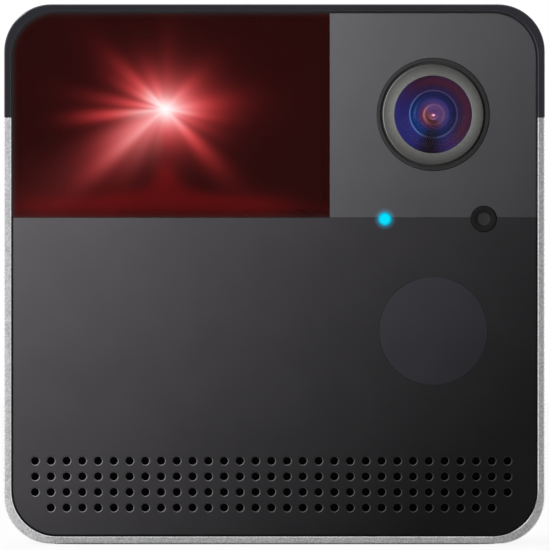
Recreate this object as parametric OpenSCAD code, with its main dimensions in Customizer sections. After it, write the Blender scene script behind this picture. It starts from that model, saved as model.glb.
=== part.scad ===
// Pet camera: a cube in an aluminium sleeve, with a round lens, a speaker grille
// and a red window over a small pan-and-tilt laser pointer.
// +Z is up, the front faces -Y, and the origin is on the floor under the middle. Millimetres.

/* [Case] */
// Width across the case
case_w = 101.6; // [98:0.2:112]
// Height, base pad included
case_h = 101.6; // [99:0.2:116]
// Depth from front to back
case_d = 101.6; // [96:0.2:130]
// Wall of the aluminium sleeve
case_wall = 1.3; // [1:0.1:1.8]
// Outer corner radius of the sleeve
case_corner_r = 8.85; // [7:0.05:11]
// Chamfer on the rims of the sleeve
rim_chamfer = 0.2; // [0.1:0.05:0.4]

/* [Visor] */
// Height of the dark visor at the sides
visor_h = 21.3; // [14:0.1:24]
// Depth of the visor from the front
visor_d = 25.4; // [18:0.1:34]
// Length of the lip that tucks under the sleeve
visor_lip = 3; // [2:0.5:5]

/* [Front panels] */
// Thickness of the front panels
panel_t = 1.8; // [1.5:0.1:2.4]
// Gap between the panels and the sleeve
panel_gap = 0.4; // [0.3:0.05:0.7]
// Depth of the panels behind the rim
panel_recess = 0.3; // [0.1:0.05:0.6]
// Gap at the seams between panels
seam_gap = 0.06; // [0.05:0.01:0.4]
// Width of the camera panel
camera_panel_w = 38.7; // [36:0.1:42]
// Height of the laser window
window_h = 38.4; // [36:0.1:40]

/* [Lens] */
// Lens centre, in from the right edge of the panels
lens_in_x = 19.25; // [16:0.05:20]
// Lens centre, down from the top edge of the panels
lens_in_z = 19; // [18:0.1:21]
// Radius of the front glass
glass_r = 7.26; // [6.8:0.02:7.6]
// Outer radius of the grey ring
ring_r = 9.5; // [9:0.05:9.7]
// Outer radius of the dark bezel
bezel_r = 10.6; // [10.4:0.05:11.4]

/* [Indicators] */
// Light and sensor, to the sides of their middle
indicator_x = 9.3; // [8:0.05:10]
// Middle of the light and sensor, right of the lens centre
indicator_shift = 0.2; // [0:0.05:0.5]
// Light and sensor, below the seam
indicator_drop = 0.25; // [0:0.05:0.5]
// Radius of the status light
light_r = 1.2; // [0.9:0.05:1.4]
// Outer radius of the light sensor's bezel
sensor_r = 2.45; // [2.2:0.05:2.8]
// Radius of the flush round window
motion_r = 10.16; // [9.5:0.02:11]
// Round window's centre below the seam
motion_drop = 21.3; // [19:0.1:24]

/* [Grille] */
// Rows of holes
grille_rows = 4; // [3:1:4]
// Spacing across
grille_pitch_x = 2.96; // [2.6:0.02:3]
// Spacing between rows
grille_pitch_z = 2.93; // [2.6:0.01:3]
// Diameter of a hole
grille_hole_d = 1.5; // [1.2:0.05:1.7]
// Chamfer round a hole
grille_chamfer = 0.2; // [0.05:0.01:0.3]
// Bottom row above the lower edge of the panel
grille_margin = 5.05; // [4.8:0.05:6]
// Offset of the grille to the left
grille_shift = 0.6; // [0:0.1:1]
// Least margin beside the grille
grille_side = 4; // [3.8:0.1:20]

/* [Base] */
// Thickness of the base pad
pad_t = 1; // [0.6:0.05:1.05]
// Part of the pad below the sleeve
pad_proud = 0.25; // [0.2:0.05:0.4]
// Margin of the pad inside the case
pad_inset = 9; // [7:0.5:16]
// Radius of the tripod thread
tripod_r = 3.2; // [2.5:0.05:4]
// Depth of the tripod thread
tripod_depth = 8; // [6:0.5:9]

/* [Rear] */
// Thickness of the rear cover
cover_t = 2.5; // [2:0.1:3]
// Depth of the cover behind the sleeve's rim
cover_recess = 0.4; // [0.2:0.1:1]
// Power inlet, left of the middle
inlet_x = -22; // [-28:0.5:-16]
// Inside radius of the power inlet
inlet_r = 3.2; // [2.75:0.05:3.4]
// Reset button, right of the middle
button_x = 8; // [2:0.5:14]
// Radius of the reset button
button_r = 2; // [1.6:0.1:2.4]
// Travel of the reset button
button_travel = 0.5; // [0.3:0.05:0.6]
// Vent slots across
vent_columns = 13; // [7:2:15]
// Rows of vent slots
vent_rows = 2; // [1:1:2]

/* [Laser] */
// Height of the beam above the seam
laser_rise = 20.4; // [20:0.1:23]
// Offset of the beam to the left of the window's middle
laser_shift = 1.1; // [0:0.1:3]
// Pan axis behind the front panels
laser_setback = 20.5; // [20:0.1:24]
// Radius of the laser barrel
barrel_r = 3.2; // [2.8:0.05:3.4]
// Length of the laser barrel
barrel_l = 18; // [14:0.5:20]
// Size of the gear teeth
gear_module = 0.5; // [0.5]
// Teeth on the pan gear
pan_teeth = 48; // [48]
// Teeth on the tilt sector's full circle
tilt_teeth = 36; // [36]
// Teeth on both pinions
pinion_teeth = 14; // [14]
// Thickness of the gears
gear_t = 2.5; // [2:0.1:2.6]

/* [Inside] */
// Thickness of the frame behind the panels
frame_t = 2.5; // [2:0.1:3]
// Wall of the chassis
chassis_t = 2; // [1.6:0.1:2.4]
// Thickness of the deck under the laser
deck_t = 2.5; // [2:0.1:3]
// Height of the board's pillars
pillar_h = 10; // [9:0.5:12]
// Thickness of the circuit boards
board_t = 1.6; // [1:0.1:2]
// Radius of the pan motor
motor_r = 10; // [8:0.1:11]
// Length of the pan motor
motor_l = 14; // [10:0.5:16]

/* [Hidden] */
$fn = 72;

// Clearances
slide_fit = 0.1;
push_fit = 0.05;
run_fit = 0.05;
loose_fit = 0.3;
cut = 1;

// Case
front_y = -case_d/2;
rear_y = case_d/2;
sleeve_h = case_h - pad_proud;
sleeve_mid_z = pad_proud + sleeve_h/2;
inner_w = case_w - 2*case_wall;
inner_h = sleeve_h - 2*case_wall;
corner_step = 0.25;
inner_r = case_corner_r - corner_step;
floor_z = pad_proud + case_wall;
ceil_z = case_h - case_wall;
visor_y = front_y + visor_d;
visor_z = case_h - visor_h;
lip_t = 1.1;

// Front, from the rim inwards
panel_y = front_y + panel_recess;
frame_y = panel_y + panel_t;
frame_back = frame_y + frame_t;
panel_right = inner_w/2 - panel_gap;
panel_left = -panel_right;
panel_top = ceil_z - panel_gap;
panel_bottom = floor_z + panel_gap;
seam_z = panel_top - window_h;
window_w = panel_right - panel_left - camera_panel_w - seam_gap;
window_right = panel_left + window_w;
ledge = 1.6;
laser_y = panel_y + laser_setback;

// Camera
lens_x = panel_right - lens_in_x;
lens_z = panel_top - lens_in_z;
groove = 0.4;
bezel_in_r = ring_r + groove;
ring_lift = 0.2;
ring_depth = 1.4;
ring_edge = 0.3;
glass_sag = ring_depth + ring_lift;
glass_ball_r = (glass_r*glass_r + glass_sag*glass_sag)/(2*glass_sag);
barrel_front_r = 8.3;
barrel_hole_r = 8.8;
barrel_back_r = 6;
barrel_bore_r = 4.4;
stop_r = 1.9;
barrel_past = 1;
barrel_rim = 1.4;
cup_l = 3;
tube_l = 4;
throat_l = 2;
stop_l = 1;
stop_y = cup_l + tube_l + throat_l;
inner_glass_t = 3;
camera_gap = 18;
camera_board_y = frame_back + camera_gap;
camera_board_w = 30;
camera_post_off = 12;
post_r = 2.4;
holder_w = 16;
holder_base = 4;
holder_tube = 8;
holder_r = 7.4;
chip_w = 7;
chip_t = 1;
chip_room = 1;
camera_screw_l = 7;
ribbon_t = 0.4;
ribbon_w = 12;
ribbon_back = 6;
ribbon_up = 4;
ribbon_y = camera_board_y + board_t + ribbon_back;
ribbon_z = lens_z - camera_board_w/2 + ribbon_up;
ribbon_room = 1;
ribbon_slot = 6;
plug_t = 2;
plug_l = 3;

// Indicators
indicator_mid = lens_x + indicator_shift;
light_x = indicator_mid - indicator_x;
sensor_x = indicator_mid + indicator_x;
indicator_z = seam_z - indicator_drop;
indicator_board_w = 30;
indicator_board_h = 8;
indicator_gap = 2.4;
indicator_y = frame_back + indicator_gap;
sensor_in_r = 1.25;
sensor_sunk = 0.2;
led_t = 1.4;
led_w = 3;
peg_x = 13;
peg_r = 1;

// Sensor behind the round window
can_r = 4.6;
can_t = 4;
cup_t = 1.2;
motion_z = seam_z - motion_drop;

// Grille and speaker
grille_z = panel_bottom + grille_margin;
grille_top = grille_z + (grille_rows - 1)*grille_pitch_z;
grille_mid_z = (grille_z + grille_top)/2;
grille_columns = 2*floor((panel_right - grille_side)/grille_pitch_x) + 1;
grille_w = (grille_columns - 1)*grille_pitch_x;
mesh_margin = 1.6;
mesh_t = 0.4;
speaker_w = 50;
speaker_h = 14.2;
speaker_flange = 1.2;
speaker_rim = 2;
speaker_deep = 8;
speaker_wall = 1.2;
sound_side = 2;
sound_edge = 0.5;
cone_t = 0.5;
cone_cap_t = 0.8;
gasket_t = 0.8;
magnet_w = 22;
magnet_h = 8;
magnet_t = 4;
mic_r = 3;
mic_t = 2.7;
mic_hole_r = 1;
mic_in = 6;

// Chassis and deck
chassis_gap = 0.2;
chassis_floor = floor_z + chassis_gap + chassis_t;
deck_drop = 1;
deck_top = seam_z - deck_drop;
deck_z = deck_top - deck_t;
boss_r = 3.5;
boss_root = 0.5;
boss_in = chassis_gap + chassis_t + boss_r - boss_root;
boss_x = inner_w/2 - boss_in;
boss_l = 10;
boss_end = 1;
screw_r = 1.1;
screw_short = 0.5;
screw_root = 0.5;
screw_hole_r = 1.2;
screw_head_r = 2.2;
screw_head_t = 1.3;
frame_screw_l = 8;
screw_rise = 7;
screw_drop = 8;
frame_screw_zs = [grille_top + screw_rise, deck_z - screw_drop];
cover_y1 = rear_y - cover_recess;
cover_y0 = cover_y1 - cover_t;
skirt_l = 5;
skirt_t = 1.5;
chassis_y1 = cover_y0 - skirt_l - loose_fit;
cover_screw_rise = 14;
cover_screw_zs = [floor_z + cover_screw_rise, deck_z - screw_drop];
cover_screw_l = 14;
deck_screw_in = 15;
deck_screw_back = 22;
deck_screw_ys = [frame_back + deck_screw_in, laser_y + deck_screw_back];
deck_screw_l = 8;
window_cut_h = 16;
window_cut_l = 18;
window_cut_y = 13.5;
window_cut_rise = 6;

// Main board
board_z = chassis_floor + pillar_h;
board_top = board_z + board_t;
board_side = 9.5;
board_front = 17;
board_rear = 2;
board_w = inner_w - 2*board_side;
board_y0 = frame_back + board_front;
board_y1 = cover_y0 - board_rear;
board_hole_in = 4;
board_corner_r = 2;
pillar_r = 3;
board_screw_l = 7;
processor_w = 15;
processor_t = 1.4;
processor_in = 24;
processor_y = board_y0 + processor_in;
processor_x = 12;
sink_w = 24;
sink_base = 2;
sink_h = 9;
sink_fins = 7;
fin_t = 1.2;
radio_w = 18;
radio_l = 24;
radio_t = 2.6;
radio_board_t = 1;
radio_rim = 1.2;
radio_strip = 8;
radio_side = 16;
radio_x = radio_side - board_w/2;
radio_y = processor_y;
cap_r = 4;
cap_h = 11;
cap_xs = [-4, -13];
cap_in = 20;
cap_y = board_y1 - cap_in;
inlet_body_w = 10;
inlet_body_l = 9;
inlet_wall = 1.6;
inlet_root = 1;
inlet_rise = 6;
inlet_z = board_top + inlet_rise;
inlet_depth = 10;
pin_r = 1;
pin_short = 0.8;
switch_w = 6;
switch_h = 6;
switch_t = 3.5;
button_rise = 3.2;
button_z = board_top + button_rise;
button_recess = 0.5;
button_flange = 0.8;
button_gap = 0.15;
button_hole_r = button_r + button_gap;
button_lip = 0.8;
button_stem = 2;
vent_w = 1.8;
vent_h = 14;
vent_pitch_x = 5;
vent_pitch_z = 18;
vent_rise = 10;
vent_z = deck_z + vent_rise;

// Base
pad_r = 7;
pad_w = case_w - 2*pad_inset;
pad_l = case_d - 2*pad_inset;
pocket_t = pad_t - pad_proud;
insert_wall = 2.8;
insert_flange_w = 6;
insert_flange_r = tripod_r + insert_flange_w;
insert_flange_t = 1.5;
insert_top_t = 1.5;
thread_gap = 0.6;
pad_hole_w = 3;
pad_hole_r = tripod_r + pad_hole_w;

// Laser
laser_x = (panel_left + window_right)/2 - laser_shift;
laser_z = seam_z + laser_rise;
pan_distance = gear_module*(pan_teeth + pinion_teeth)/2;
tilt_distance = gear_module*(tilt_teeth + pinion_teeth)/2;
motor_y = laser_y + pan_distance;
pressure_angle = 20;
addendum = 0.9;
dedendum = 1.25;
backlash = 0.07;
root_step = 0.02;
thrust_boss = 0.4;
thrust_r = 5;
gear_z = deck_top + thrust_boss + slide_fit;
yoke_z = gear_z + gear_t;
yoke_base_t = 2.5;
yoke_top = yoke_z + yoke_base_t;
yoke_r = 9.4;
arm_in = 7.2;
arm_t = 2.2;
arm_w = 7;
trunnion_r = 1.5;
collar_r = 5.2;
collar_l = 8;
sector_gap = 0.4;
sector_x = arm_in + arm_t + sector_gap;
sector_t = 2;
sector_hub_r = 4;
sector_half = 60;
pivot_r = 2;
pivot_head_r = 3.5;
pivot_head_t = 1.2;
yoke_peg_r = 1;
yoke_peg_x = 6.5;
peg_short = 0.5;
pivot_short = 0.5;
head_room = 5;
shaft_r = 1;
shaft_past = 1;
shaft_end = 0.5;
tilt_motor_r = 3.3;
tilt_motor_l = 11;
tilt_shaft_r = 0.6;
tilt_motor_z = laser_z - tilt_distance;
saddle_w = 5;
saddle_l = 8;
saddle_off = 2;
saddle_drop = 1;
motor_boss_r = 4;
motor_boss_h = 1.5;
motor_flange_t = 1.2;
motor_end = 2;
ear_r = 3;
motor_ear_x = motor_r + ear_r;
shroud_t = 1;
shroud_in = 2.4;
shroud_drop = 2.6;
shroud_top = ceil_z - shroud_drop;
shroud_left = panel_left + shroud_in;
shroud_right = window_right - shroud_t;
shroud_clear = 5.5;
shroud_back = motor_y + shroud_clear;
deck_y0 = frame_back + loose_fit;
deck_edge = 4;
deck_cut = 2;
deck_y1 = shroud_back + deck_edge;
laser_cup_r = 2.2;
laser_cup_l = 2.5;
laser_lens_t = 1.2;

// Half the angle of a gear tooth at radius q, from the involute of its base circle
function tooth_half(teeth, base, q) =
  let (a = q > base ? acos(base/q) : 0)
  90/teeth - backlash*180/PI/(gear_module*teeth/2)
  + (tan(pressure_angle)*180/PI - pressure_angle)
  - (tan(a)*180/PI - a);

// Outline of a spur gear: root, base, pitch and tip points on both flanks of each tooth
function gear_points(teeth, turn) =
  let (p = gear_module*teeth/2)
  let (base = p*cos(pressure_angle))
  let (root = p - dedendum*gear_module)
  let (tip = p + addendum*gear_module)
  let (rs = [root, max(base, root + root_step), p, (p + tip)/2, tip])
  [for (k = [0:teeth - 1], i = [0:9])
    let (q = i < 5 ? rs[i] : rs[9 - i])
    let (s = i < 5 ? -1 : 1)
    let (b = turn + 360*k/teeth + s*tooth_half(teeth, base, q))
    [q*cos(b), q*sin(b)]];

// Shapes in the plane
module rounded_rect(w, h, r) {
  square([w, h - 2*r], center = true);
  square([w - 2*r, h], center = true);
  for (sx = [-1, 1], sz = [-1, 1])
    translate([sx*(w/2 - r), sz*(h/2 - r)]) circle(r);
}

module stadium(w, h) {
  square([w - h, h], center = true);
  for (s = [-1, 1])
    translate([s*(w - h)/2, 0]) circle(h/2);
}

module bore_outline(inset) {
  translate([0, sleeve_mid_z])
    rounded_rect(inner_w - 2*inset, inner_h - 2*inset, inner_r - inset);
}

module gear_outline(teeth, turn) {
  polygon(gear_points(teeth, turn));
}

// Plane shape in X and Z, standing with its front at y0
module upright(y0, t) {
  translate([0, y0 + t, 0]) rotate([90, 0, 0]) linear_extrude(t) children();
}

// Plane shape in Y and Z, with its left side at x0
module sideways(x0, t) {
  translate([x0, 0, 0]) rotate([90, 0, 90]) linear_extrude(t) children();
}

module rod_y(x, y0, z, l, r) {
  translate([x, y0, z]) rotate([-90, 0, 0]) cylinder(h = l, r = r);
}

module cone_y(x, y0, z, l, r0, r1) {
  translate([x, y0, z]) rotate([-90, 0, 0]) cylinder(h = l, r1 = r0, r2 = r1);
}

module rod_x(x0, y, z, l, r) {
  translate([x0, y, z]) rotate([0, 90, 0]) cylinder(h = l, r = r);
}

module rod_z(x, y, z0, l, r) {
  translate([x, y, z0]) cylinder(h = l, r = r);
}

module box(x0, y0, z0, w, l, h) {
  translate([x0, y0, z0]) cube([w, l, h]);
}

// Countersunk screw along +Y with its head's face at y0
module screw_y(x, y0, z, l) {
  cone_y(x, y0, z, screw_head_t, screw_head_r, screw_r);
  rod_y(x, y0, z, l, screw_r);
}

// Slab that grows by its own depth c from the smaller outline to w by h
module bevel_slab(w, h, r, c) {
  for (sx = [-1, 1], sz = [-1, 1])
    translate([sx*(w/2 - r), sz*(h/2 - r), 0]) cylinder(h = c, r1 = r - c, r2 = r);
  rotate([90, 0, 0])
    linear_extrude(h - 2*r, center = true)
      polygon([[c - w/2, 0], [w/2 - c, 0], [w/2, c], [-w/2, c]]);
  rotate([90, 0, 90])
    linear_extrude(w - 2*r, center = true)
      polygon([[c - h/2, 0], [h/2 - c, 0], [h/2, c], [-h/2, c]]);
}

// Sleeve: a square tube with chamfered rims, cut away for the visor
module sleeve_tube() {
  difference() {
    union() {
      upright(front_y + rim_chamfer, case_d - 2*rim_chamfer)
        translate([0, sleeve_mid_z]) rounded_rect(case_w, sleeve_h, case_corner_r);
      translate([0, front_y, sleeve_mid_z]) rotate([-90, 0, 0])
        bevel_slab(case_w, sleeve_h, case_corner_r, rim_chamfer);
      translate([0, rear_y, sleeve_mid_z]) rotate([90, 0, 0])
        bevel_slab(case_w, sleeve_h, case_corner_r, rim_chamfer);
    }
    upright(front_y - cut, case_d + 2*cut) bore_outline(0);
    translate([0, front_y + rim_chamfer, sleeve_mid_z]) rotate([90, 0, 0])
      bevel_slab(inner_w + 2*rim_chamfer, inner_h + 2*rim_chamfer, inner_r + rim_chamfer, rim_chamfer);
  }
}

module visor_zone(y0, y1, z0) {
  box(-case_w, y0, z0, 2*case_w, y1 - y0, case_h - z0 + cut);
}

module pad_block(grow, z0, t) {
  translate([0, 0, z0]) linear_extrude(t)
    rounded_rect(pad_w + 2*grow, pad_l + 2*grow, pad_r + grow);
}

module case_sleeve() {
  color("silver") difference() {
    sleeve_tube();
    visor_zone(front_y - cut, visor_y, visor_z);
    pad_block(slide_fit, pad_proud - cut, pocket_t + cut);
    rod_z(0, 0, 0, floor_z + cut, tripod_r + thread_gap);
  }
}

module lip_ring(inset) {
  upright(front_y, case_d) difference() {
    bore_outline(inset);
    bore_outline(lip_t);
  }
}

// Visor: the missing part of the tube, with a lip behind the joint
module top_visor() {
  color("#2e2f36") union() {
    intersection() {
      sleeve_tube();
      visor_zone(front_y - cut, visor_y - slide_fit, visor_z + slide_fit);
    }
    intersection() {
      lip_ring(0);
      visor_zone(frame_back + slide_fit, visor_y - slide_fit, visor_z + slide_fit);
    }
    intersection() {
      lip_ring(slide_fit);
      visor_zone(frame_back + slide_fit, visor_y + visor_lip, visor_z - visor_lip);
    }
  }
}

module panel_zone(x0, x1, z0, z1) {
  intersection() {
    bore_outline(panel_gap);
    translate([x0, z0]) square([x1 - x0, z1 - z0]);
  }
}

module indicator_holes(y0, l) {
  rod_y(light_x, y0, indicator_z, l, light_r + push_fit);
  rod_y(sensor_x, y0, indicator_z, l, sensor_r + push_fit);
}

// Centre of each grille hole; the bottom row leaves out its two ends
function grille_spots() =
  [for (j = [0:grille_rows - 1], i = [0:grille_columns - 1])
    if (j > 0 || (i > 0 && i < grille_columns - 1))
      [(i - (grille_columns - 1)/2)*grille_pitch_x - grille_shift, grille_z + j*grille_pitch_z]];

module lower_panel() {
  color("#1c1c1f") difference() {
    upright(panel_y, panel_t) difference() {
      panel_zone(panel_left, panel_right, panel_bottom, seam_z - seam_gap/2);
      translate([lens_x, motion_z]) circle(motion_r + push_fit);
      for (s = grille_spots())
        translate(s) circle(d = grille_hole_d);
    }
    for (s = grille_spots())
      cone_y(s[0], panel_y, s[1], grille_chamfer, grille_hole_d/2 + grille_chamfer, grille_hole_d/2);
    indicator_holes(panel_y - cut, panel_t + 2*cut);
  }
}

module camera_panel() {
  color("#2a2a2d") difference() {
    upright(panel_y, panel_t) difference() {
      panel_zone(window_right + seam_gap, panel_right, seam_z + seam_gap/2, panel_top);
      translate([lens_x, lens_z]) circle(bezel_r + push_fit);
    }
    indicator_holes(panel_y - cut, panel_t + 2*cut);
  }
}

module laser_window() {
  color("#5a0c0c") upright(panel_y, panel_t)
    panel_zone(panel_left, window_right, seam_z + seam_gap/2, panel_top);
}

function camera_posts() =
  [for (s = [-1, 1]) [lens_x + s*camera_post_off, lens_z + s*camera_post_off]];

// Frame behind the panels, with a ledge round each opening and posts for the small boards
module front_frame() {
  color("#18181a") difference() {
    union() {
      upright(frame_y, frame_t) difference() {
        bore_outline(slide_fit);
        intersection() {
          bore_outline(panel_gap + ledge);
          translate([panel_left, seam_z + ledge])
            square([window_w - ledge, window_h]);
        }
        translate([lens_x, lens_z]) circle(barrel_hole_r);
        translate([lens_x, motion_z]) circle(can_r + loose_fit);
        translate([-grille_shift, grille_mid_z])
          stadium(speaker_w - 2*speaker_rim - 2*sound_side, speaker_h - 2*speaker_rim - 2*sound_edge);
        translate([light_x, indicator_z]) circle(light_r + push_fit);
        translate([sensor_x, indicator_z]) circle(sensor_in_r + push_fit);
        translate([grille_w/2 - mic_in, grille_mid_z]) circle(mic_hole_r);
        for (s = [-1, 1], z = frame_screw_zs)
          translate([s*boss_x, z]) circle(screw_hole_r);
      }
      for (p = camera_posts())
        rod_y(p[0], frame_back, p[1], camera_gap, post_r);
      for (s = [-1, 1])
        rod_y(indicator_mid + s*peg_x, frame_back, indicator_z, indicator_gap, peg_r);
      upright(frame_back, can_t) translate([lens_x, motion_z]) difference() {
        circle(can_r + loose_fit + cup_t);
        circle(can_r + loose_fit);
      }
    }
    upright(frame_y - cut, mesh_t + cut)
      translate([-grille_shift, grille_mid_z]) mesh_outline(slide_fit);
    for (s = [-1, 1], z = frame_screw_zs)
      cone_y(s*boss_x, frame_y, z, screw_head_t + slide_fit, screw_head_r + slide_fit, screw_hole_r);
    for (p = camera_posts())
      rod_y(p[0], frame_back + cut, p[1], camera_gap, screw_r);
  }
}

module mesh_outline(grow) {
  square([grille_w + 2*mesh_margin + 2*grow,
          (grille_rows - 1)*grille_pitch_z + 2*mesh_margin + 2*grow], center = true);
}

module grille_mesh() {
  color("#101012") upright(frame_y, mesh_t)
    translate([-grille_shift, grille_mid_z]) mesh_outline(0);
}

// Lens, from the bezel on the panel back to the board
module lens_bezel() {
  color("#232326") difference() {
    union() {
      rod_y(lens_x, panel_y, lens_z, panel_t, bezel_r);
      cone_y(lens_x, panel_y - ring_lift/2, lens_z, ring_lift/2, bezel_r - ring_lift/2, bezel_r);
    }
    rod_y(lens_x, panel_y - cut, lens_z, panel_t + 2*cut, bezel_in_r);
  }
}

// Flat ring round the glass with a chamfered outer edge
module lens_ring() {
  color("#6e6e70") translate([lens_x, panel_y - ring_lift, lens_z]) rotate([-90, 0, 0])
    rotate_extrude() polygon([
      [glass_r + run_fit, 0], [ring_r - ring_edge, 0], [ring_r, ring_edge],
      [ring_r, ring_depth], [glass_r + run_fit, ring_depth]]);
}

module lens_glass() {
  color("#241c40") intersection() {
    translate([lens_x, panel_y + glass_ball_r - ring_lift, lens_z]) sphere(glass_ball_r, $fn = 240);
    rod_y(lens_x, panel_y - cut, lens_z, cut + ring_depth + ring_lift, glass_r);
  }
}

module lens_barrel() {
  y0 = panel_y + ring_depth + ring_lift;
  color("#141416") difference() {
    union() {
      rod_y(lens_x, y0, lens_z, frame_back - y0 + barrel_past, barrel_front_r);
      rod_y(lens_x, y0, lens_z, camera_board_y - holder_base - barrel_past - y0, barrel_back_r);
    }
    cone_y(lens_x, y0, lens_z, cup_l, barrel_front_r - barrel_rim, barrel_bore_r);
    rod_y(lens_x, y0 + cup_l - push_fit, lens_z, tube_l + push_fit, barrel_bore_r);
    cone_y(lens_x, y0 + cup_l + tube_l, lens_z, throat_l, barrel_bore_r, stop_r);
    rod_y(lens_x, y0 + stop_y - push_fit, lens_z, stop_l + 2*push_fit, stop_r);
    rod_y(lens_x, y0 + stop_y + stop_l, lens_z, camera_gap, barrel_bore_r);
  }
}

module lens_inner_element() {
  color("#3a2a50") rod_y(lens_x, panel_y + ring_depth + ring_lift + stop_y + stop_l, lens_z,
                         inner_glass_t, barrel_bore_r);
}

module lens_holder() {
  y1 = camera_board_y;
  color("#1a1a1c") difference() {
    union() {
      box(lens_x - holder_w/2, y1 - holder_base, lens_z - holder_w/2, holder_w, holder_base, holder_w);
      rod_y(lens_x, y1 - holder_base - holder_tube, lens_z, holder_tube + cut, holder_r);
    }
    rod_y(lens_x, y1 - holder_base - holder_tube - cut, lens_z,
          holder_tube + holder_base + 2*cut, barrel_back_r);
    box(lens_x - chip_w/2 - chip_room, y1 - 2*chip_t, lens_z - chip_w/2 - chip_room,
        chip_w + 2*chip_room, 2*chip_t + cut, chip_w + 2*chip_room);
  }
}

module image_sensor() {
  color("#202a2a") box(lens_x - chip_w/2, camera_board_y - chip_t, lens_z - chip_w/2,
                       chip_w, chip_t, chip_w);
}

module camera_board() {
  color("#12301f") upright(camera_board_y, board_t) translate([lens_x, lens_z]) difference() {
    square(camera_board_w, center = true);
    for (s = [-1, 1])
      translate([s*camera_post_off, s*camera_post_off]) circle(screw_hole_r);
  }
}

module camera_screws() {
  l = board_t + camera_screw_l;
  y1 = camera_board_y + board_t;
  color("#8a8a8c") for (p = camera_posts()) {
    rod_y(p[0], y1 - l, p[1], l + screw_root, screw_r);
    rod_y(p[0], y1, p[1], screw_head_t, screw_head_r);
  }
}

// Ribbon from the camera board down through the deck to the main board
module camera_ribbon() {
  color("#c8a860") {
    sideways(lens_x - ribbon_w/2, ribbon_w) union() {
      translate([camera_board_y + board_t, ribbon_z - plug_t])
        square([plug_l, 2*plug_t]);
      translate([camera_board_y + board_t, ribbon_z - ribbon_t/2])
        square([ribbon_y - camera_board_y - board_t, ribbon_t]);
      translate([ribbon_y - ribbon_t, board_top]) square([ribbon_t, ribbon_z + ribbon_t/2 - board_top]);
      translate([ribbon_y - plug_t, board_top]) square([2*plug_t, plug_l]);
    }
  }
}

// Indicators on the seam
module light_pipe() {
  color("#00deff") rod_y(light_x, panel_y, indicator_z,
                         indicator_y - led_t - panel_y - slide_fit, light_r);
}

module sensor_bezel() {
  color("#0e0e10") upright(panel_y, panel_t) translate([sensor_x, indicator_z]) difference() {
    circle(sensor_r);
    circle(sensor_in_r + push_fit);
  }
}

module sensor_lens() {
  color("#34343a") rod_y(sensor_x, panel_y + sensor_sunk, indicator_z,
                         indicator_y - led_t - panel_y - sensor_sunk - slide_fit, sensor_in_r);
}

module indicator_board() {
  color("#12301f") upright(indicator_y, board_t) translate([indicator_mid, indicator_z])
    square([indicator_board_w, indicator_board_h], center = true);
}

module led_chip(x) {
  box(x - led_w/2, indicator_y - led_t, indicator_z - led_w/2, led_w, led_t, led_w);
}

module status_led() {
  color("#e8f4f4") led_chip(light_x);
}

module light_sensor() {
  color("#3a3a40") led_chip(sensor_x);
}

module motion_window() {
  color("#26252a") rod_y(lens_x, panel_y, motion_z, panel_t, motion_r);
}

module motion_sensor() {
  color("#9a9a9c") union() {
    rod_y(lens_x, frame_y + loose_fit, motion_z, frame_t + can_t - loose_fit, can_r);
    rod_y(lens_x, frame_back + can_t, motion_z, cup_t, can_r + loose_fit + cup_t);
  }
}

// Speaker behind the grille
module speaker_shape(in) {
  translate([-grille_shift, grille_mid_z]) stadium(speaker_w - 2*in, speaker_h - 2*in);
}

module speaker_gasket() {
  color("#1c1c1c") upright(frame_back, gasket_t) difference() {
    speaker_shape(0);
    speaker_shape(speaker_rim);
  }
}

module speaker_frame() {
  y0 = frame_back + gasket_t;
  color("#2a2a2c") union() {
    upright(y0, speaker_flange) difference() {
      speaker_shape(0);
      speaker_shape(speaker_rim);
    }
    upright(y0 + speaker_flange, speaker_deep) difference() {
      speaker_shape(speaker_wall);
      speaker_shape(2*speaker_wall);
    }
    upright(y0 + speaker_flange + speaker_deep, speaker_wall) speaker_shape(speaker_wall);
  }
}

module speaker_cone() {
  y0 = frame_back + gasket_t;
  color("#101012") union() {
    upright(y0 + speaker_flange, cone_t) speaker_shape(2*speaker_wall);
    upright(y0 + speaker_flange - cone_cap_t, cone_cap_t) speaker_shape(2*speaker_rim);
  }
}

module speaker_magnet() {
  y1 = frame_back + gasket_t + speaker_flange + speaker_deep;
  color("#707074") box(-grille_shift - magnet_w/2, y1 - magnet_t, grille_mid_z - magnet_h/2,
                       magnet_w, magnet_t, magnet_h);
}

module microphone() {
  color("#5a5a5c") rod_y(grille_w/2 - mic_in, frame_back, grille_mid_z, mic_t, mic_r);
}

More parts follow.
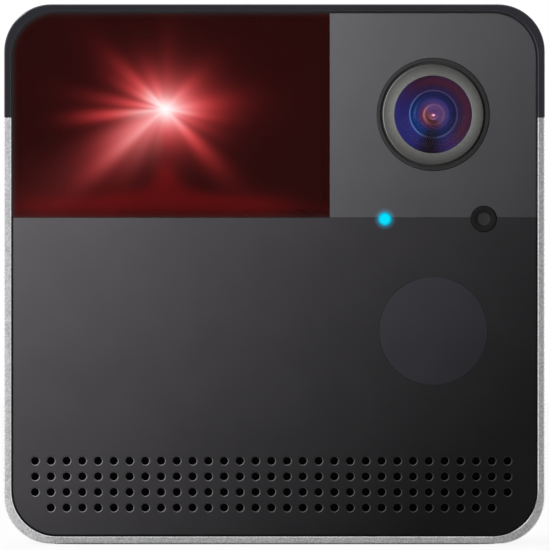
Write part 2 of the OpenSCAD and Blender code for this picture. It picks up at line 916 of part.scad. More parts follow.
// Chassis: a rounded channel with bosses for the frame, the cover, the deck and the board
module chassis() {
  color("#2c2c30") difference() {
    union() {
      upright(frame_back, chassis_y1 - frame_back) intersection() {
        difference() {
          bore_outline(chassis_gap);
          bore_outline(chassis_gap + chassis_t);
        }
        translate([-case_w, 0]) square([2*case_w, deck_z]);
      }
      for (s = [-1, 1], z = frame_screw_zs)
        rod_y(s*boss_x, frame_back, z, boss_l, boss_r);
      for (s = [-1, 1], z = cover_screw_zs)
        rod_y(s*boss_x, chassis_y1 - boss_l, z, boss_l, boss_r);
      for (s = [-1, 1], y = deck_screw_ys)
        rod_z(s*boss_x, y, deck_z - boss_l, boss_l, boss_r);
      for (p = board_spots())
        rod_z(p[0], p[1], chassis_floor - chassis_t/2, pillar_h + chassis_t/2, pillar_r);
    }
    for (s = [-1, 1], z = frame_screw_zs)
      rod_y(s*boss_x, frame_back - cut, z, frame_screw_l + cut, screw_r);
    for (s = [-1, 1], z = cover_screw_zs)
      rod_y(s*boss_x, chassis_y1 - boss_l + boss_end, z, boss_l + cut, screw_r);
    for (s = [-1, 1], y = deck_screw_ys)
      rod_z(s*boss_x, y, deck_z - deck_screw_l, deck_screw_l + cut, screw_r);
    for (p = board_spots())
      rod_z(p[0], p[1], board_z - board_screw_l, board_screw_l + cut, screw_r);
    for (k = [-1, 1])
      box(-case_w, k*window_cut_y - window_cut_l/2, board_z + window_cut_rise,
          2*case_w, window_cut_l, window_cut_h);
    rod_z(0, 0, 0, board_z, insert_flange_r + loose_fit);
  }
}

module frame_screws() {
  color("#8a8a8c") for (s = [-1, 1], z = frame_screw_zs)
    screw_y(s*boss_x, frame_y, z, frame_t + frame_screw_l - screw_short);
}

// Main board and what stands on it
function board_spots() =
  [for (sx = [-1, 1], y = [board_y0 + board_hole_in, chassis_y1 - board_hole_in])
    [sx*(board_w/2 - board_hole_in), y]];

module main_board() {
  color("#14361f") translate([0, 0, board_z]) linear_extrude(board_t) difference() {
    translate([0, (board_y0 + board_y1)/2]) rounded_rect(board_w, board_y1 - board_y0, board_corner_r);
    for (p = board_spots())
      translate(p) circle(screw_hole_r);
  }
}

module board_screws() {
  color("#8a8a8c") for (p = board_spots()) {
    rod_z(p[0], p[1], board_top, screw_head_t, screw_head_r);
    rod_z(p[0], p[1], board_z - board_screw_l + screw_short, board_t + board_screw_l, screw_r);
  }
}

module on_board(x, y, z0, w, l, h) {
  box(x - w/2, y - l/2, z0, w, l, h);
}

module processor() {
  color("#1e1e20") on_board(processor_x, processor_y, board_top, processor_w, processor_w, processor_t);
}

module heat_sink() {
  z0 = board_top + processor_t;
  step = (sink_w - fin_t)/(sink_fins - 1);
  color("#8c9096") union() {
    on_board(processor_x, processor_y, z0, sink_w, sink_w, sink_base);
    for (k = [0:sink_fins - 1])
      box(processor_x - sink_w/2 + k*step, processor_y - sink_w/2, z0 + sink_base/2,
          fin_t, sink_w, sink_h);
  }
}

module radio_module() {
  color("#b4b6b8") union() {
    on_board(radio_x, radio_y, board_top, radio_w, radio_l, radio_board_t);
    on_board(radio_x, radio_y - radio_rim, board_top,
             radio_w - 2*radio_rim, radio_l - radio_strip, radio_t);
  }
}

module capacitors() {
  color("#2c2c34") for (x = cap_xs)
    rod_z(x, cap_y, board_top, cap_h, cap_r);
}

// Power inlet: a round socket that ends flush with the cover
module power_inlet() {
  y0 = board_y1 - inlet_body_l;
  color("#161618") difference() {
    union() {
      box(inlet_x - inlet_body_w/2, y0, board_top, inlet_body_w, inlet_body_l,
          inlet_z - board_top + inlet_r + inlet_wall);
      rod_y(inlet_x, y0 + inlet_root, inlet_z, cover_y1 - y0 - inlet_root, inlet_r + inlet_wall);
    }
    rod_y(inlet_x, cover_y1 - inlet_depth, inlet_z, inlet_depth + cut, inlet_r);
  }
}

module inlet_pin() {
  color("#c8c8ca") rod_y(inlet_x, cover_y1 - inlet_depth, inlet_z, inlet_depth - pin_short, pin_r);
}

module reset_switch() {
  color("#202022") box(button_x - switch_w/2, switch_y(), board_top, switch_w, switch_t, switch_h);
}

function switch_y() = cover_y0 - button_flange - button_stem - button_travel - switch_t;

module reset_button() {
  y0 = cover_y0 - slide_fit - button_flange;
  color("#3a3a3e") union() {
    rod_y(button_x, y0, button_z, cover_y1 - button_recess - y0, button_r);
    rod_y(button_x, y0, button_z, button_flange, button_r + button_lip);
    rod_y(button_x, switch_y() + switch_t + button_travel + slide_fit, button_z,
          y0 - switch_y() - switch_t - button_travel, button_r/2);
  }
}

// Rear cover with vents, set into the back of the sleeve
module rear_cover() {
  color("#1c1c1f") difference() {
    union() {
      upright(cover_y0, cover_t) difference() {
        bore_outline(slide_fit);
        for (i = [0:vent_columns - 1], j = [0:vent_rows - 1])
          translate([(i - (vent_columns - 1)/2)*vent_pitch_x, vent_z + j*vent_pitch_z])
            rotate(90) stadium(vent_h, vent_w);
        translate([inlet_x, inlet_z]) circle(inlet_r + inlet_wall + slide_fit);
        translate([button_x, button_z]) circle(button_hole_r);
        for (s = [-1, 1], z = cover_screw_zs)
          translate([s*boss_x, z]) circle(screw_hole_r);
      }
      upright(cover_y0 - skirt_l, skirt_l) difference() {
        bore_outline(slide_fit);
        bore_outline(slide_fit + skirt_t);
      }
      for (s = [-1, 1], z = cover_screw_zs)
        upright(chassis_y1, cover_y0 - chassis_y1) translate([s*boss_x, z]) difference() {
          circle(boss_r);
          circle(screw_hole_r);
        }
    }
    for (s = [-1, 1], z = cover_screw_zs)
      cone_y(s*boss_x, cover_y1 - screw_head_t - slide_fit, z, screw_head_t + slide_fit,
             screw_hole_r, screw_head_r + slide_fit);
  }
}

module cover_screws() {
  color("#3c3c40") for (s = [-1, 1], z = cover_screw_zs) {
    cone_y(s*boss_x, cover_y1 - screw_head_t, z, screw_head_t, screw_r, screw_head_r);
    rod_y(s*boss_x, cover_y1 - cover_screw_l, z, cover_screw_l, screw_r);
  }
}

// Base
module base_pad() {
  color("#161616") difference() {
    pad_block(0, 0, pad_t);
    rod_z(0, 0, -cut, pad_t + 2*cut, pad_hole_r);
  }
}

module tripod_insert() {
  color("#b8973a") difference() {
    union() {
      rod_z(0, 0, floor_z, tripod_depth + insert_top_t, tripod_r + insert_wall);
      rod_z(0, 0, floor_z, insert_flange_t, insert_flange_r);
    }
    rod_z(0, 0, floor_z - cut, tripod_depth + cut, tripod_r);
  }
}

// Deck under the laser, on top of the chassis
module laser_deck() {
  color("#1a1a1c") difference() {
    union() {
      box(-inner_w/2 + loose_fit, deck_y0, deck_z, inner_w - 2*loose_fit, deck_y1 - deck_y0, deck_t);
      rod_z(laser_x, laser_y, deck_top - cut, thrust_boss + cut, thrust_r);
    }
    box(window_right + deck_cut, deck_y0 - cut, deck_z - cut,
        case_w, cut + indicator_gap + board_t + deck_cut, deck_t + 2*cut);
    box(lens_x - ribbon_w/2 - ribbon_room, ribbon_y - ribbon_slot/2, deck_z - cut,
        ribbon_w + 2*ribbon_room, ribbon_slot, deck_t + 2*cut);
    rod_z(laser_x, laser_y, deck_z - cut, deck_t + 3*cut, pivot_r);
    rod_z(laser_x, motor_y, deck_z - cut, deck_t + 2*cut, motor_boss_r + slide_fit);
    for (s = [-1, 1])
      screw_hole_z(laser_x + s*motor_ear_x, motor_y);
    for (s = [-1, 1], y = deck_screw_ys)
      screw_hole_z(s*boss_x, y);
  }
}

module screw_hole_z(x, y) {
  rod_z(x, y, deck_z - cut, deck_t + 2*cut, screw_hole_r);
  translate([x, y, deck_top - screw_head_t - slide_fit])
    cylinder(h = screw_head_t + slide_fit, r1 = screw_hole_r, r2 = screw_head_r + slide_fit);
}

module screw_z(x, y, l) {
  translate([x, y, deck_top - screw_head_t])
    cylinder(h = screw_head_t, r1 = screw_r, r2 = screw_head_r);
  rod_z(x, y, deck_top - l, l, screw_r);
}

module deck_screws() {
  color("#8a8a8c") {
    for (s = [-1, 1], y = deck_screw_ys)
      screw_z(s*boss_x, y, deck_t + deck_screw_l - screw_short);
    for (s = [-1, 1])
      screw_z(laser_x + s*motor_ear_x, motor_y, deck_t + motor_flange_t);
  }
}

// Dark shroud round the laser, open to the window
module laser_shroud() {
  color("#0c0c0d") intersection() {
    translate([0, 0, deck_top]) linear_extrude(shroud_top - deck_top) difference() {
      translate([shroud_left, deck_y0]) square([shroud_right - shroud_left, shroud_back - deck_y0]);
      translate([shroud_left + shroud_t, deck_y0 - cut])
        square([shroud_right - shroud_left - 2*shroud_t, shroud_back - deck_y0 - shroud_t + cut]);
    }
    upright(front_y, case_d) bore_outline(lip_t + loose_fit);
  }
}

// Pan drive: motor under the deck, pinion and gear above it
module pan_motor() {
  color("#9c9ea0") difference() {
    union() {
      rod_z(laser_x, motor_y, deck_z - motor_l, motor_l, motor_r);
      rod_z(laser_x, motor_y, deck_z - cut, motor_boss_h + cut, motor_boss_r);
      translate([0, 0, deck_z - motor_flange_t]) linear_extrude(motor_flange_t)
        translate([laser_x, motor_y]) stadium(2*motor_ear_x + 2*ear_r, 2*ear_r);
    }
    rod_z(laser_x, motor_y, deck_z - motor_l + motor_end, motor_l + 2*cut, shaft_r + run_fit);
    for (s = [-1, 1])
      rod_z(laser_x + s*motor_ear_x, motor_y, deck_z - motor_flange_t - cut,
            motor_flange_t + 2*cut, screw_r);
  }
}

module pan_pinion() {
  z0 = deck_z - motor_l + motor_end + slide_fit;
  color("#c9b060") union() {
    translate([laser_x, motor_y, gear_z]) linear_extrude(gear_t)
      gear_outline(pinion_teeth, 270 + 180/pinion_teeth);
    rod_z(laser_x, motor_y, z0, gear_z + gear_t + shaft_past - z0, shaft_r);
  }
}

module pan_pivot() {
  color("#a8aaac") union() {
    rod_z(laser_x, laser_y, deck_z, yoke_top - deck_z - pivot_short, pivot_r);
    rod_z(laser_x, laser_y, yoke_top - pivot_head_t - slide_fit, pivot_head_t, pivot_head_r);
  }
}

module pan_gear() {
  color("#d8d4c8") translate([laser_x, laser_y, gear_z]) linear_extrude(gear_t) difference() {
    gear_outline(pan_teeth, 90);
    circle(pivot_r + run_fit);
    for (s = [-1, 1])
      translate([0, s*yoke_peg_x]) circle(yoke_peg_r + push_fit);
  }
}

// Yoke: two arms on a round base, with a saddle for the tilt motor
module pan_yoke() {
  color("#3a3a3d") difference() {
    union() {
      rod_z(laser_x, laser_y, yoke_z, yoke_base_t, yoke_r);
      for (x = [-arm_in - arm_t, arm_in])
        sideways(laser_x + x, arm_t) translate([laser_y, 0]) union() {
          translate([-arm_w/2, yoke_z]) square([arm_w, laser_z - yoke_z]);
          translate([0, laser_z]) circle(arm_w/2);
        }
      box(laser_x - saddle_w/2 - saddle_off, laser_y - saddle_l/2, yoke_top - cut,
          saddle_w, saddle_l, tilt_motor_z - yoke_top + cut - saddle_drop);
      for (s = [-1, 1])
        rod_z(laser_x, laser_y + s*yoke_peg_x, gear_z + peg_short, gear_t + cut, yoke_peg_r);
    }
    rod_z(laser_x, laser_y, yoke_z - cut, yoke_base_t + 2*cut, pivot_r + run_fit);
    rod_z(laser_x, laser_y, yoke_top - pivot_head_t - 2*slide_fit, pivot_head_t + head_room,
          pivot_head_r + loose_fit);
    rod_x(laser_x - 2*arm_in, laser_y, laser_z, 4*arm_in, trunnion_r + run_fit);
    rod_x(laser_x - arm_in, laser_y, tilt_motor_z, 2*arm_in, tilt_motor_r + push_fit);
    rod_x(laser_x, laser_y, tilt_motor_z, 2*arm_in, tilt_shaft_r + loose_fit);
  }
}

// Tilt drive: motor in the yoke, pinion and sector outside the right arm
module tilt_motor() {
  color("#a8aaac") difference() {
    rod_x(laser_x + arm_in - tilt_motor_l, laser_y, tilt_motor_z, tilt_motor_l, tilt_motor_r);
    rod_x(laser_x + arm_in - tilt_motor_l + motor_end, laser_y, tilt_motor_z,
          tilt_motor_l, tilt_shaft_r + run_fit);
  }
}

module tilt_pinion() {
  x0 = laser_x + arm_in - tilt_motor_l + motor_end + slide_fit;
  color("#c9b060") union() {
    sideways(laser_x + sector_x, sector_t) translate([laser_y, tilt_motor_z])
      gear_outline(pinion_teeth, 90 + 180/pinion_teeth);
    rod_x(x0, laser_y, tilt_motor_z, laser_x + sector_x + sector_t + shaft_end - x0, tilt_shaft_r);
  }
}

module laser_cradle() {
  color("#4a4a4e") difference() {
    union() {
      rod_y(laser_x, laser_y - collar_l/2, laser_z, collar_l, collar_r);
      rod_x(laser_x - arm_in - arm_t - shaft_end, laser_y, laser_z,
            arm_in + arm_t + sector_x + sector_t + 2*shaft_end, trunnion_r);
    }
    rod_y(laser_x, laser_y - collar_l, laser_z, 2*collar_l, barrel_r);
  }
}

module tilt_sector() {
  reach = tilt_distance;
  color("#d8d4c8") sideways(laser_x + sector_x, sector_t) translate([laser_y, laser_z]) difference() {
    union() {
      circle(sector_hub_r);
      intersection() {
        gear_outline(tilt_teeth, 270);
        polygon([[0, 0], [-reach*sin(sector_half), -reach*cos(sector_half)], [-reach, -2*reach],
                 [reach, -2*reach], [reach*sin(sector_half), -reach*cos(sector_half)]]);
      }
    }
    circle(trunnion_r);
  }
}

module laser_module() {
  y0 = laser_y - barrel_l/2;
  color("#b08d3c") difference() {
    rod_y(laser_x, y0, laser_z, barrel_l, barrel_r);
    rod_y(laser_x, y0 - cut, laser_z, laser_cup_l + cut, laser_cup_r);
  }
}

module laser_lens() {
  color("#ff5a50") rod_y(laser_x, laser_y - barrel_l/2 + laser_cup_l - laser_lens_t, laser_z,
                         laser_lens_t, laser_cup_r);
}

// What is drawn
case_sleeve();
top_visor();
front_frame();
lower_panel();
camera_panel();
laser_window();
lens_bezel();
lens_ring();
lens_glass();
lens_barrel();
lens_inner_element();
lens_holder();
image_sensor();
camera_board();
camera_ribbon();
camera_screws();
light_pipe();
sensor_bezel();
sensor_lens();
indicator_board();
status_led();
light_sensor();
motion_window();
motion_sensor();
grille_mesh();
speaker_gasket();
speaker_frame();
speaker_cone();
speaker_magnet();
microphone();
chassis();
frame_screws();
main_board();
board_screws();
processor();
heat_sink();
radio_module();
capacitors();
power_inlet();
inlet_pin();
reset_switch();
reset_button();
rear_cover();
cover_screws();
base_pad();
tripod_insert();
laser_deck();
deck_screws();
laser_shroud();
pan_motor();
pan_pinion();
pan_pivot();
pan_gear();
pan_yoke();
tilt_motor();
tilt_pinion();
laser_cradle();
tilt_sector();
laser_module();
laser_lens();
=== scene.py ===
import bmesh
import bpy
import numpy as np
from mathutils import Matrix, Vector


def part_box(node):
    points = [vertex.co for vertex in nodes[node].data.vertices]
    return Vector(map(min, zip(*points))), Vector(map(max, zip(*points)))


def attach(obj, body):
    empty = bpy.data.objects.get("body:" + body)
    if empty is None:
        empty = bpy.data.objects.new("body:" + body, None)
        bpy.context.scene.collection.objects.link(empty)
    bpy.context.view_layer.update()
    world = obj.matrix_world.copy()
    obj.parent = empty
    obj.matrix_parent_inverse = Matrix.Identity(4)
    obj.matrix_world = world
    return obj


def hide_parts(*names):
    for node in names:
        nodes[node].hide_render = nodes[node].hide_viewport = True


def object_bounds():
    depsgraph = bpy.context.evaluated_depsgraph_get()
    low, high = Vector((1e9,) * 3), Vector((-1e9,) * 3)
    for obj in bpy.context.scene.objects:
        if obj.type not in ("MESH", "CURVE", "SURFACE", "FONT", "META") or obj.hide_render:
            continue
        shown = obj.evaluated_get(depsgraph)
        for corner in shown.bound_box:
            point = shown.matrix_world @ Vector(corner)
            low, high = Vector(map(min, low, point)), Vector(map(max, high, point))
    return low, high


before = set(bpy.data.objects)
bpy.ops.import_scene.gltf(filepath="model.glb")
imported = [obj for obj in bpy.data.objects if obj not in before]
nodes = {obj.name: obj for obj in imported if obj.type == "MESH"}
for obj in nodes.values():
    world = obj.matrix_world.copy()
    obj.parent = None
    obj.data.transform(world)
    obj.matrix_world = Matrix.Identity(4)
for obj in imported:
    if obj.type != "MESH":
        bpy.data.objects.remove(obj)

cadLow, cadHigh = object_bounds()
scene = bpy.context.scene
mm = 0.001
turn = 2 * np.pi
print("frame loaded:", len(nodes), "nodes")


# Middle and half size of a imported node, from its two corners
def middleOf(node):
    low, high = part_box(node)
    return (low + high) / 2, (high - low) / 2


# Camera straight in front, far back with a long lens: width seen at the front = sensor * distance / lens
view = {"photoPixels": 550, "pixel": 0.18795 * mm, "aim": (0.1 * mm, 50.72 * mm), "distance": 3.6,
        "sensor": 36.0, "clip": (0.05, 50.0)}


def makeCamera():
    data = bpy.data.cameras.new("frontCamera")
    data.sensor_width = view["sensor"]
    data.lens = view["sensor"] * view["distance"] / (view["photoPixels"] * view["pixel"])
    data.clip_start, data.clip_end = view["clip"]
    camera = bpy.data.objects.new("frontCamera", data)
    camera.location = (view["aim"][0], cadLow.y - view["distance"], view["aim"][1])
    camera.rotation_euler = (np.pi / 2, 0, 0)
    scene.collection.objects.link(camera)
    scene.camera = camera


makeCamera()
scene.view_settings.view_transform = "Standard"
print("camera set")


# A node of the given kind, its inputs set to values or linked to sockets
def addNode(tree, kind, inputs=None, **settings):
    made = tree.nodes.new("ShaderNode" + kind)
    for key, value in settings.items():
        setattr(made, key, value)
    for key, value in (inputs or {}).items():
        if isinstance(value, bpy.types.NodeSocket):
            tree.links.new(value, made.inputs[key])
        else:
            made.inputs[key].default_value = value
    return made


# Coordinates of a point of the surface; Object is in metres in the shared frame
def placeOn(tree, kind="Object"):
    return addNode(tree, "TexCoord").outputs[kind]


def yOf(tree, place):
    return addNode(tree, "SeparateXYZ", {"Vector": place}).outputs["Y"]


# Two numbers put together by the named operation
def combine(tree, operation, first, second):
    return addNode(tree, "Math", {0: first, 1: second}, operation=operation).outputs[0]


# The same for vectors; result is Value where the operation gives a number
def combineVectors(tree, operation, first, second=(0, 0, 0), result="Vector"):
    return addNode(tree, "VectorMath", {0: first, 1: second}, operation=operation).outputs[result]


def scaled(tree, tint, factor):
    return addNode(tree, "VectorMath", {0: tint, "Scale": factor}, operation="SCALE").outputs["Vector"]


# A pattern's range between two edges carried to low and high, and held there outside the edges
def spread(tree, pattern, low, high, edges=(0.3, 0.7), curve="LINEAR"):
    return addNode(tree, "MapRange", {
        "Value": pattern, "From Min": edges[0], "From Max": edges[1], "To Min": low, "To Max": high,
    }, interpolation_type=curve).outputs["Result"]


# Room light: white to the camera and in mirrors that face back, darker in front of the part than at its sides
studio = {"front": 0.12, "room": 0.90, "turnsAt": (-0.60, 0.30), "backFrom": (-0.55, -0.15),
          "floorTone": 0.55, "floorSeen": 1.0, "floorWhite": 0.90, "floorBack": (-0.05, 0.10),
          "floorSize": 8.0}


# 1 where the camera looks and a share where a mirror looks: max(camera, share * max(glossy, transmission))
def seenBy(tree, share):
    path = addNode(tree, "LightPath").outputs
    mirrored = combine(tree, "MAXIMUM", path["Is Glossy Ray"], path["Is Transmission Ray"])
    return combine(tree, "MAXIMUM", path["Is Camera Ray"], combine(tree, "MULTIPLY", mirrored, share))


def makeRoom():
    world = bpy.data.worlds.new("studioRoom")
    world.use_nodes = True
    scene.world = world
    tree = world.node_tree
    ahead = yOf(tree, placeOn(tree, "Generated"))
    level = spread(tree, ahead, studio["front"], studio["room"], studio["turnsAt"], "SMOOTHSTEP")
    behind = spread(tree, ahead, 0, 1, studio["backFrom"], "SMOOTHSTEP")
    background = tree.nodes["Background"]
    background.inputs["Color"].default_value = (1, 1, 1, 1)
    tree.links.new(combine(tree, "MAXIMUM", seenBy(tree, behind), level), background.inputs["Strength"])


# Pale floor: part of what the camera sees of it, or a mirror sees behind the part, is plain white, the rest
# is lit and keeps the shadow
def makeFloor():
    half = studio["floorSize"] / 2
    mesh = bpy.data.meshes.new("studioFloor")
    corners = [(-half, -half, 0), (half, -half, 0), (half, half, 0), (-half, half, 0)]
    mesh.from_pydata(corners, [], [(0, 1, 2, 3)])
    floor = bpy.data.objects.new("studioFloor", mesh)
    scene.collection.objects.link(floor)
    paint = bpy.data.materials.new("floorPaint")
    paint.use_nodes = True
    tree = paint.node_tree
    tree.nodes.clear()
    tone = spread(tree, seenBy(tree, 1), studio["floorTone"], studio["floorSeen"], (0, 1))
    behind = spread(tree, yOf(tree, placeOn(tree)), 0, 1, studio["floorBack"])
    share = combine(tree, "MULTIPLY", seenBy(tree, behind), studio["floorWhite"])
    matt = addNode(tree, "BsdfDiffuse", {"Color": tone})
    glow = addNode(tree, "Emission", {"Color": (1, 1, 1, 1), "Strength": 1.0})
    both = addNode(tree, "MixShader", {0: share, 1: matt.outputs[0], 2: glow.outputs[0]})
    addNode(tree, "OutputMaterial", {"Surface": both.outputs[0]})
    mesh.materials.append(paint)


# Lamps: place and aim in metres, width in metres, power in watts
lamps = {
    "keyBox": {"at": (-0.9, -0.25, 1.1), "aim": (0, 0, 0.05), "width": 0.6, "power": 8.0},
    "panelBox": {"at": (-0.097, -0.235, 0.097), "aim": (-0.256, -0.050, 0.248), "width": 0.05, "power": 3.4},
    "sleeveBox": {"at": (-0.62, -1.95, 0.10), "aim": (0, -0.05, 0.05), "width": 0.5, "power": 7.0},
}

# Small red lamp in the chamber behind the laser pane
chamberLamp = {"at": (-20.5 * mm, -43 * mm, 93 * mm), "radius": 2 * mm, "power": 0.004,
               "colour": (1.0, 0.06, 0.05)}


# A lamp in the scene at its place, itself not seen by the camera
def placeLamp(data, at):
    lamp = bpy.data.objects.new(data.name, data)
    lamp.location = at
    lamp.visible_camera = False
    scene.collection.objects.link(lamp)
    return lamp


def addLamp(name):
    spec = lamps[name]
    data = bpy.data.lights.new(name, "AREA")
    data.shape = "DISK"
    data.size = spec["width"]
    data.energy = spec["power"]
    lamp = placeLamp(data, spec["at"])
    lamp.rotation_euler = (Vector(spec["aim"]) - Vector(spec["at"])).to_track_quat("-Z", "Y").to_euler()
    return lamp


def addChamberLamp():
    data = bpy.data.lights.new("chamberLamp", "POINT")
    data.color = chamberLamp["colour"]
    data.energy = chamberLamp["power"]
    data.shadow_soft_size = chamberLamp["radius"]
    placeLamp(data, chamberLamp["at"])


makeRoom()
makeFloor()
addLamp("keyBox")
addChamberLamp()
print("room, floor and lamps set")

# Finishes

socketNames = {
    "colour": "Base Color", "metallic": "Metallic", "rough": "Roughness", "shine": "Specular IOR Level",
    "alpha": "Alpha", "glow": "Emission Strength", "glowColour": "Emission Color", "normal": "Normal",
}


def shaderInput(tree, key):
    return tree.nodes["Principled BSDF"].inputs[socketNames[key]]


# Patterns linked to the shader's sockets
def feed(tree, **patterns):
    for key, pattern in patterns.items():
        tree.links.new(pattern, shaderInput(tree, key))


# What is already linked to one of the shader's sockets
def fedBy(tree, key):
    return shaderInput(tree, key).links[0].from_socket


# A colour that the piece keeps at its points
def pointColour(tree, name):
    return addNode(tree, "Attribute", attribute_name=name).outputs["Color"]


# Noise with features of the given size in metres, longer along an axis where stretch is below 1
def speckle(tree, size, detail=3.0, stretch=(1, 1, 1)):
    place = placeOn(tree)
    if stretch != (1, 1, 1):
        place = addNode(tree, "Mapping", {"Vector": place, "Scale": stretch}).outputs["Vector"]
    return addNode(tree, "TexNoise", {"Vector": place, "Scale": 1 / size, "Detail": detail}).outputs["Fac"]


# A principled material: even values straight on the shader's sockets, and a roughness that wanders between
# two values with a noise of the given size
def plainFinish(name, size, rough, **values):
    material = bpy.data.materials.new(name)
    material.use_nodes = True
    tree = material.node_tree
    for key, value in values.items():
        shaderInput(tree, key).default_value = (*value, 1) if isinstance(value, tuple) else value
    feed(tree, rough=spread(tree, speckle(tree, size), *rough))
    return material, tree


# Two tones blended by a 0 to 1 pattern
def twoTones(tree, pattern, dark, light, edges=(0.3, 0.7)):
    ramp = addNode(tree, "ValToRGB", {"Fac": pattern})
    for element, tone, place in zip(ramp.color_ramp.elements, (dark, light), edges):
        element.color = (*tone, 1)
        element.position = place
    return ramp.outputs["Color"]


# Relief of a 0 to 1 pattern, its depth in metres
def bumped(tree, pattern, depth):
    bump = addNode(tree, "Bump", {"Height": pattern, "Distance": depth, "Strength": 1.0})
    feed(tree, normal=bump.outputs["Normal"])


grainNoise = {"shinePatches": 4, "detail": 2.0}


# Tone wanders with a patch-sized noise, roughness with a larger one, and the bump is noise of the grain's
# size; patch, grain and depth are in metres
def grained(name, dark, light, patch, grain, depth, rough, stretch=(1, 1, 1), **values):
    material, tree = plainFinish(name, grainNoise["shinePatches"] * patch, rough, **values)
    feed(tree, colour=twoTones(tree, speckle(tree, patch, stretch=stretch), dark, light))
    bumped(tree, speckle(tree, grain, grainNoise["detail"], stretch), depth)
    return material


# Chamfers of the front edges: where they start and end behind the face, and which way is toward the light
chamfer = {"start": 0.02 * mm, "full": 0.05 * mm, "foot": 0.2 * mm, "gone": 0.22 * mm,
           "toward": (-0.7, 0, 0.7), "turns": (-0.1, 0.6)}


# 1 on the small chamfers, from just behind the face at y to their foot, 0 elsewhere
def chamferBand(tree, face):
    y = yOf(tree, placeOn(tree))
    starts = spread(tree, y, 0, 1, (face + chamfer["start"], face + chamfer["full"]))
    ends = spread(tree, y, 1, 0, (face + chamfer["foot"], face + chamfer["gone"]))
    return combine(tree, "MULTIPLY", starts, ends)


# Chamfers smoother by the cutter, with a painted highlight: tone times gain, roughness drawn to rough; both
# are (away, toward) for the sides turned from and to the upper left light, blended between the two turns
def chamferHighlights(material, face, gain, rough, turns=chamfer["turns"]):
    tree = material.node_tree
    band = chamferBand(tree, face)
    along = combineVectors(tree, "DOT_PRODUCT", placeOn(tree, "Normal"), chamfer["toward"], "Value")
    # painted highlight: the chamfers' tone raised by a gain that follows which way they face the upper left
    # light
    lift = spread(tree, band, 1, spread(tree, along, *gain, turns), (0, 1))
    smooth = spread(tree, along, *rough, turns)
    drawn = addNode(tree, "Mix", {0: band, 2: fedBy(tree, "rough"), 3: smooth}).outputs[0]
    feed(tree, colour=scaled(tree, fedBy(tree, "colour"), lift), rough=drawn)
    return material


# Rims a little crowned: they fall by slope times the distance out from a square inset by the corner radius,
# length of max(|x| - inset, 0) and lean * max(|z| - inset, 0); the inset along y is more than the depth
crown = {"slope": 0.07, "lean": 0.2, "inset": 42 * mm, "insetY": 1.0}


def crowned(material):
    tree = material.node_tree
    fromMiddle = combineVectors(tree, "SUBTRACT", placeOn(tree), (cadLow + cadHigh) / 2)
    size = combineVectors(tree, "ABSOLUTE", fromMiddle)
    past = combineVectors(tree, "SUBTRACT", size, (crown["inset"], crown["insetY"], crown["inset"]))
    leant = combineVectors(tree, "MULTIPLY", combineVectors(tree, "MAXIMUM", past), (1, 1, crown["lean"]))
    away = combineVectors(tree, "LENGTH", leant, result="Value")
    fall = addNode(tree, "Bump", {"Height": away, "Distance": crown["slope"], "Strength": 1.0}, invert=True)
    tree.links.new(fall.outputs["Normal"], fedBy(tree, "normal").node.inputs["Normal"])
    return material


# Satin front plastic; near the status light some of its light comes through the thin wall:
# glow = strength * (1 - (r - inner) / (outer - inner)) squared
halo = {"inner": 1.15 * mm, "outer": 2.3 * mm, "strength": 0.28, "colour": (0.0, 0.60, 1.0)}


# Distance from the point where the axis of the status light meets the front face
def fromLight(tree):
    light, _ = middleOf("light_pipe")
    light.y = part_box("lower_panel")[0].y
    return combineVectors(tree, "DISTANCE", placeOn(tree), light, "Value")


def panelPlastic(name, dark, light):
    material = grained(name, dark, light, patch=9 * mm, grain=0.16 * mm, depth=0.004 * mm, rough=(0.58, 0.66),
                       shine=0.06, glowColour=halo["colour"])
    # painted highlights on the hole and edge chamfers, brightest on the sides turned to the upper left light
    tree = chamferHighlights(material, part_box("lower_panel")[0].y, gain=(2.2, 5.2), rough=(0.4, 0.4)).node_tree
    fade = spread(tree, fromLight(tree), 1, 0, (halo["inner"], halo["outer"]))
    feed(tree, glow=combine(tree, "MULTIPLY", combine(tree, "POWER", fade, 2), halo["strength"]))
    return material


# Tinted pane: the laser's glare on it is painted light, a glow coloured by the piece's glare attribute
def panePlastic():
    material, tree = plainFinish("tintedPane", size=12 * mm, rough=(0.12, 0.18), alpha=0.88, shine=0.06,
                                 colour=(0.012, 0.0012, 0.0012), glow=1.0)
    feed(tree, glowColour=pointColour(tree, "glare"))
    return material


# Coated lens surfaces: half of the piece's painted reflection tint as their colour, and the tint given back
# as painted glow
def coatedGlass():
    material, tree = plainFinish("coatedGlass", size=2 * mm, rough=(0.30, 0.40), shine=0.05, glow=1.05)
    tint = pointColour(tree, "coating")
    feed(tree, colour=scaled(tree, tint, 0.5), glowColour=tint)
    return material


# Clear dome: a faint violet over what lies behind it
def clearDome():
    material, tree = plainFinish("clearDome", size=3 * mm, rough=(0.02, 0.05), alpha=0.14, shine=0.5)
    feed(tree, colour=twoTones(tree, speckle(tree, 5 * mm), (0.010, 0.006, 0.020), (0.014, 0.009, 0.030)))
    return material


# Status light: full in the middle of its dome and falling to half at its edge
def lightPipe():
    material, tree = plainFinish("lightPipe", size=0.4 * mm, rough=(0.25, 0.4), shine=0.1,
                                 colour=(0.0, 0.04, 0.06), glowColour=(0.0, 0.72, 1.0))
    feed(tree, glow=spread(tree, fromLight(tree), 1.0, 0.48, (0.75 * mm, 1.2 * mm)))
    return material


waveTurn = 20  # radians that the wave texture runs through in one unit


# Stripes across an axis, pitch in metres: 0.5 - 0.5 cos(2 pi x / pitch)
def stripes(tree, pitch, direction="X"):
    inputs = {"Vector": placeOn(tree), "Scale": turn / waveTurn / pitch}
    return addNode(tree, "TexWave", inputs, bands_direction=direction).outputs["Fac"]


# Ribbon cable: its runs are stripes in tone and relief
def ribbonFilm():
    material, tree = plainFinish("ribbonFilm", size=3 * mm, rough=(0.25, 0.4), shine=0.5)
    runs = stripes(tree, 1.0 * mm)
    feed(tree, colour=twoTones(tree, runs, (0.30, 0.13, 0.02), (0.50, 0.26, 0.06), (0.4, 0.6)))
    bumped(tree, runs, 0.03 * mm)
    return material


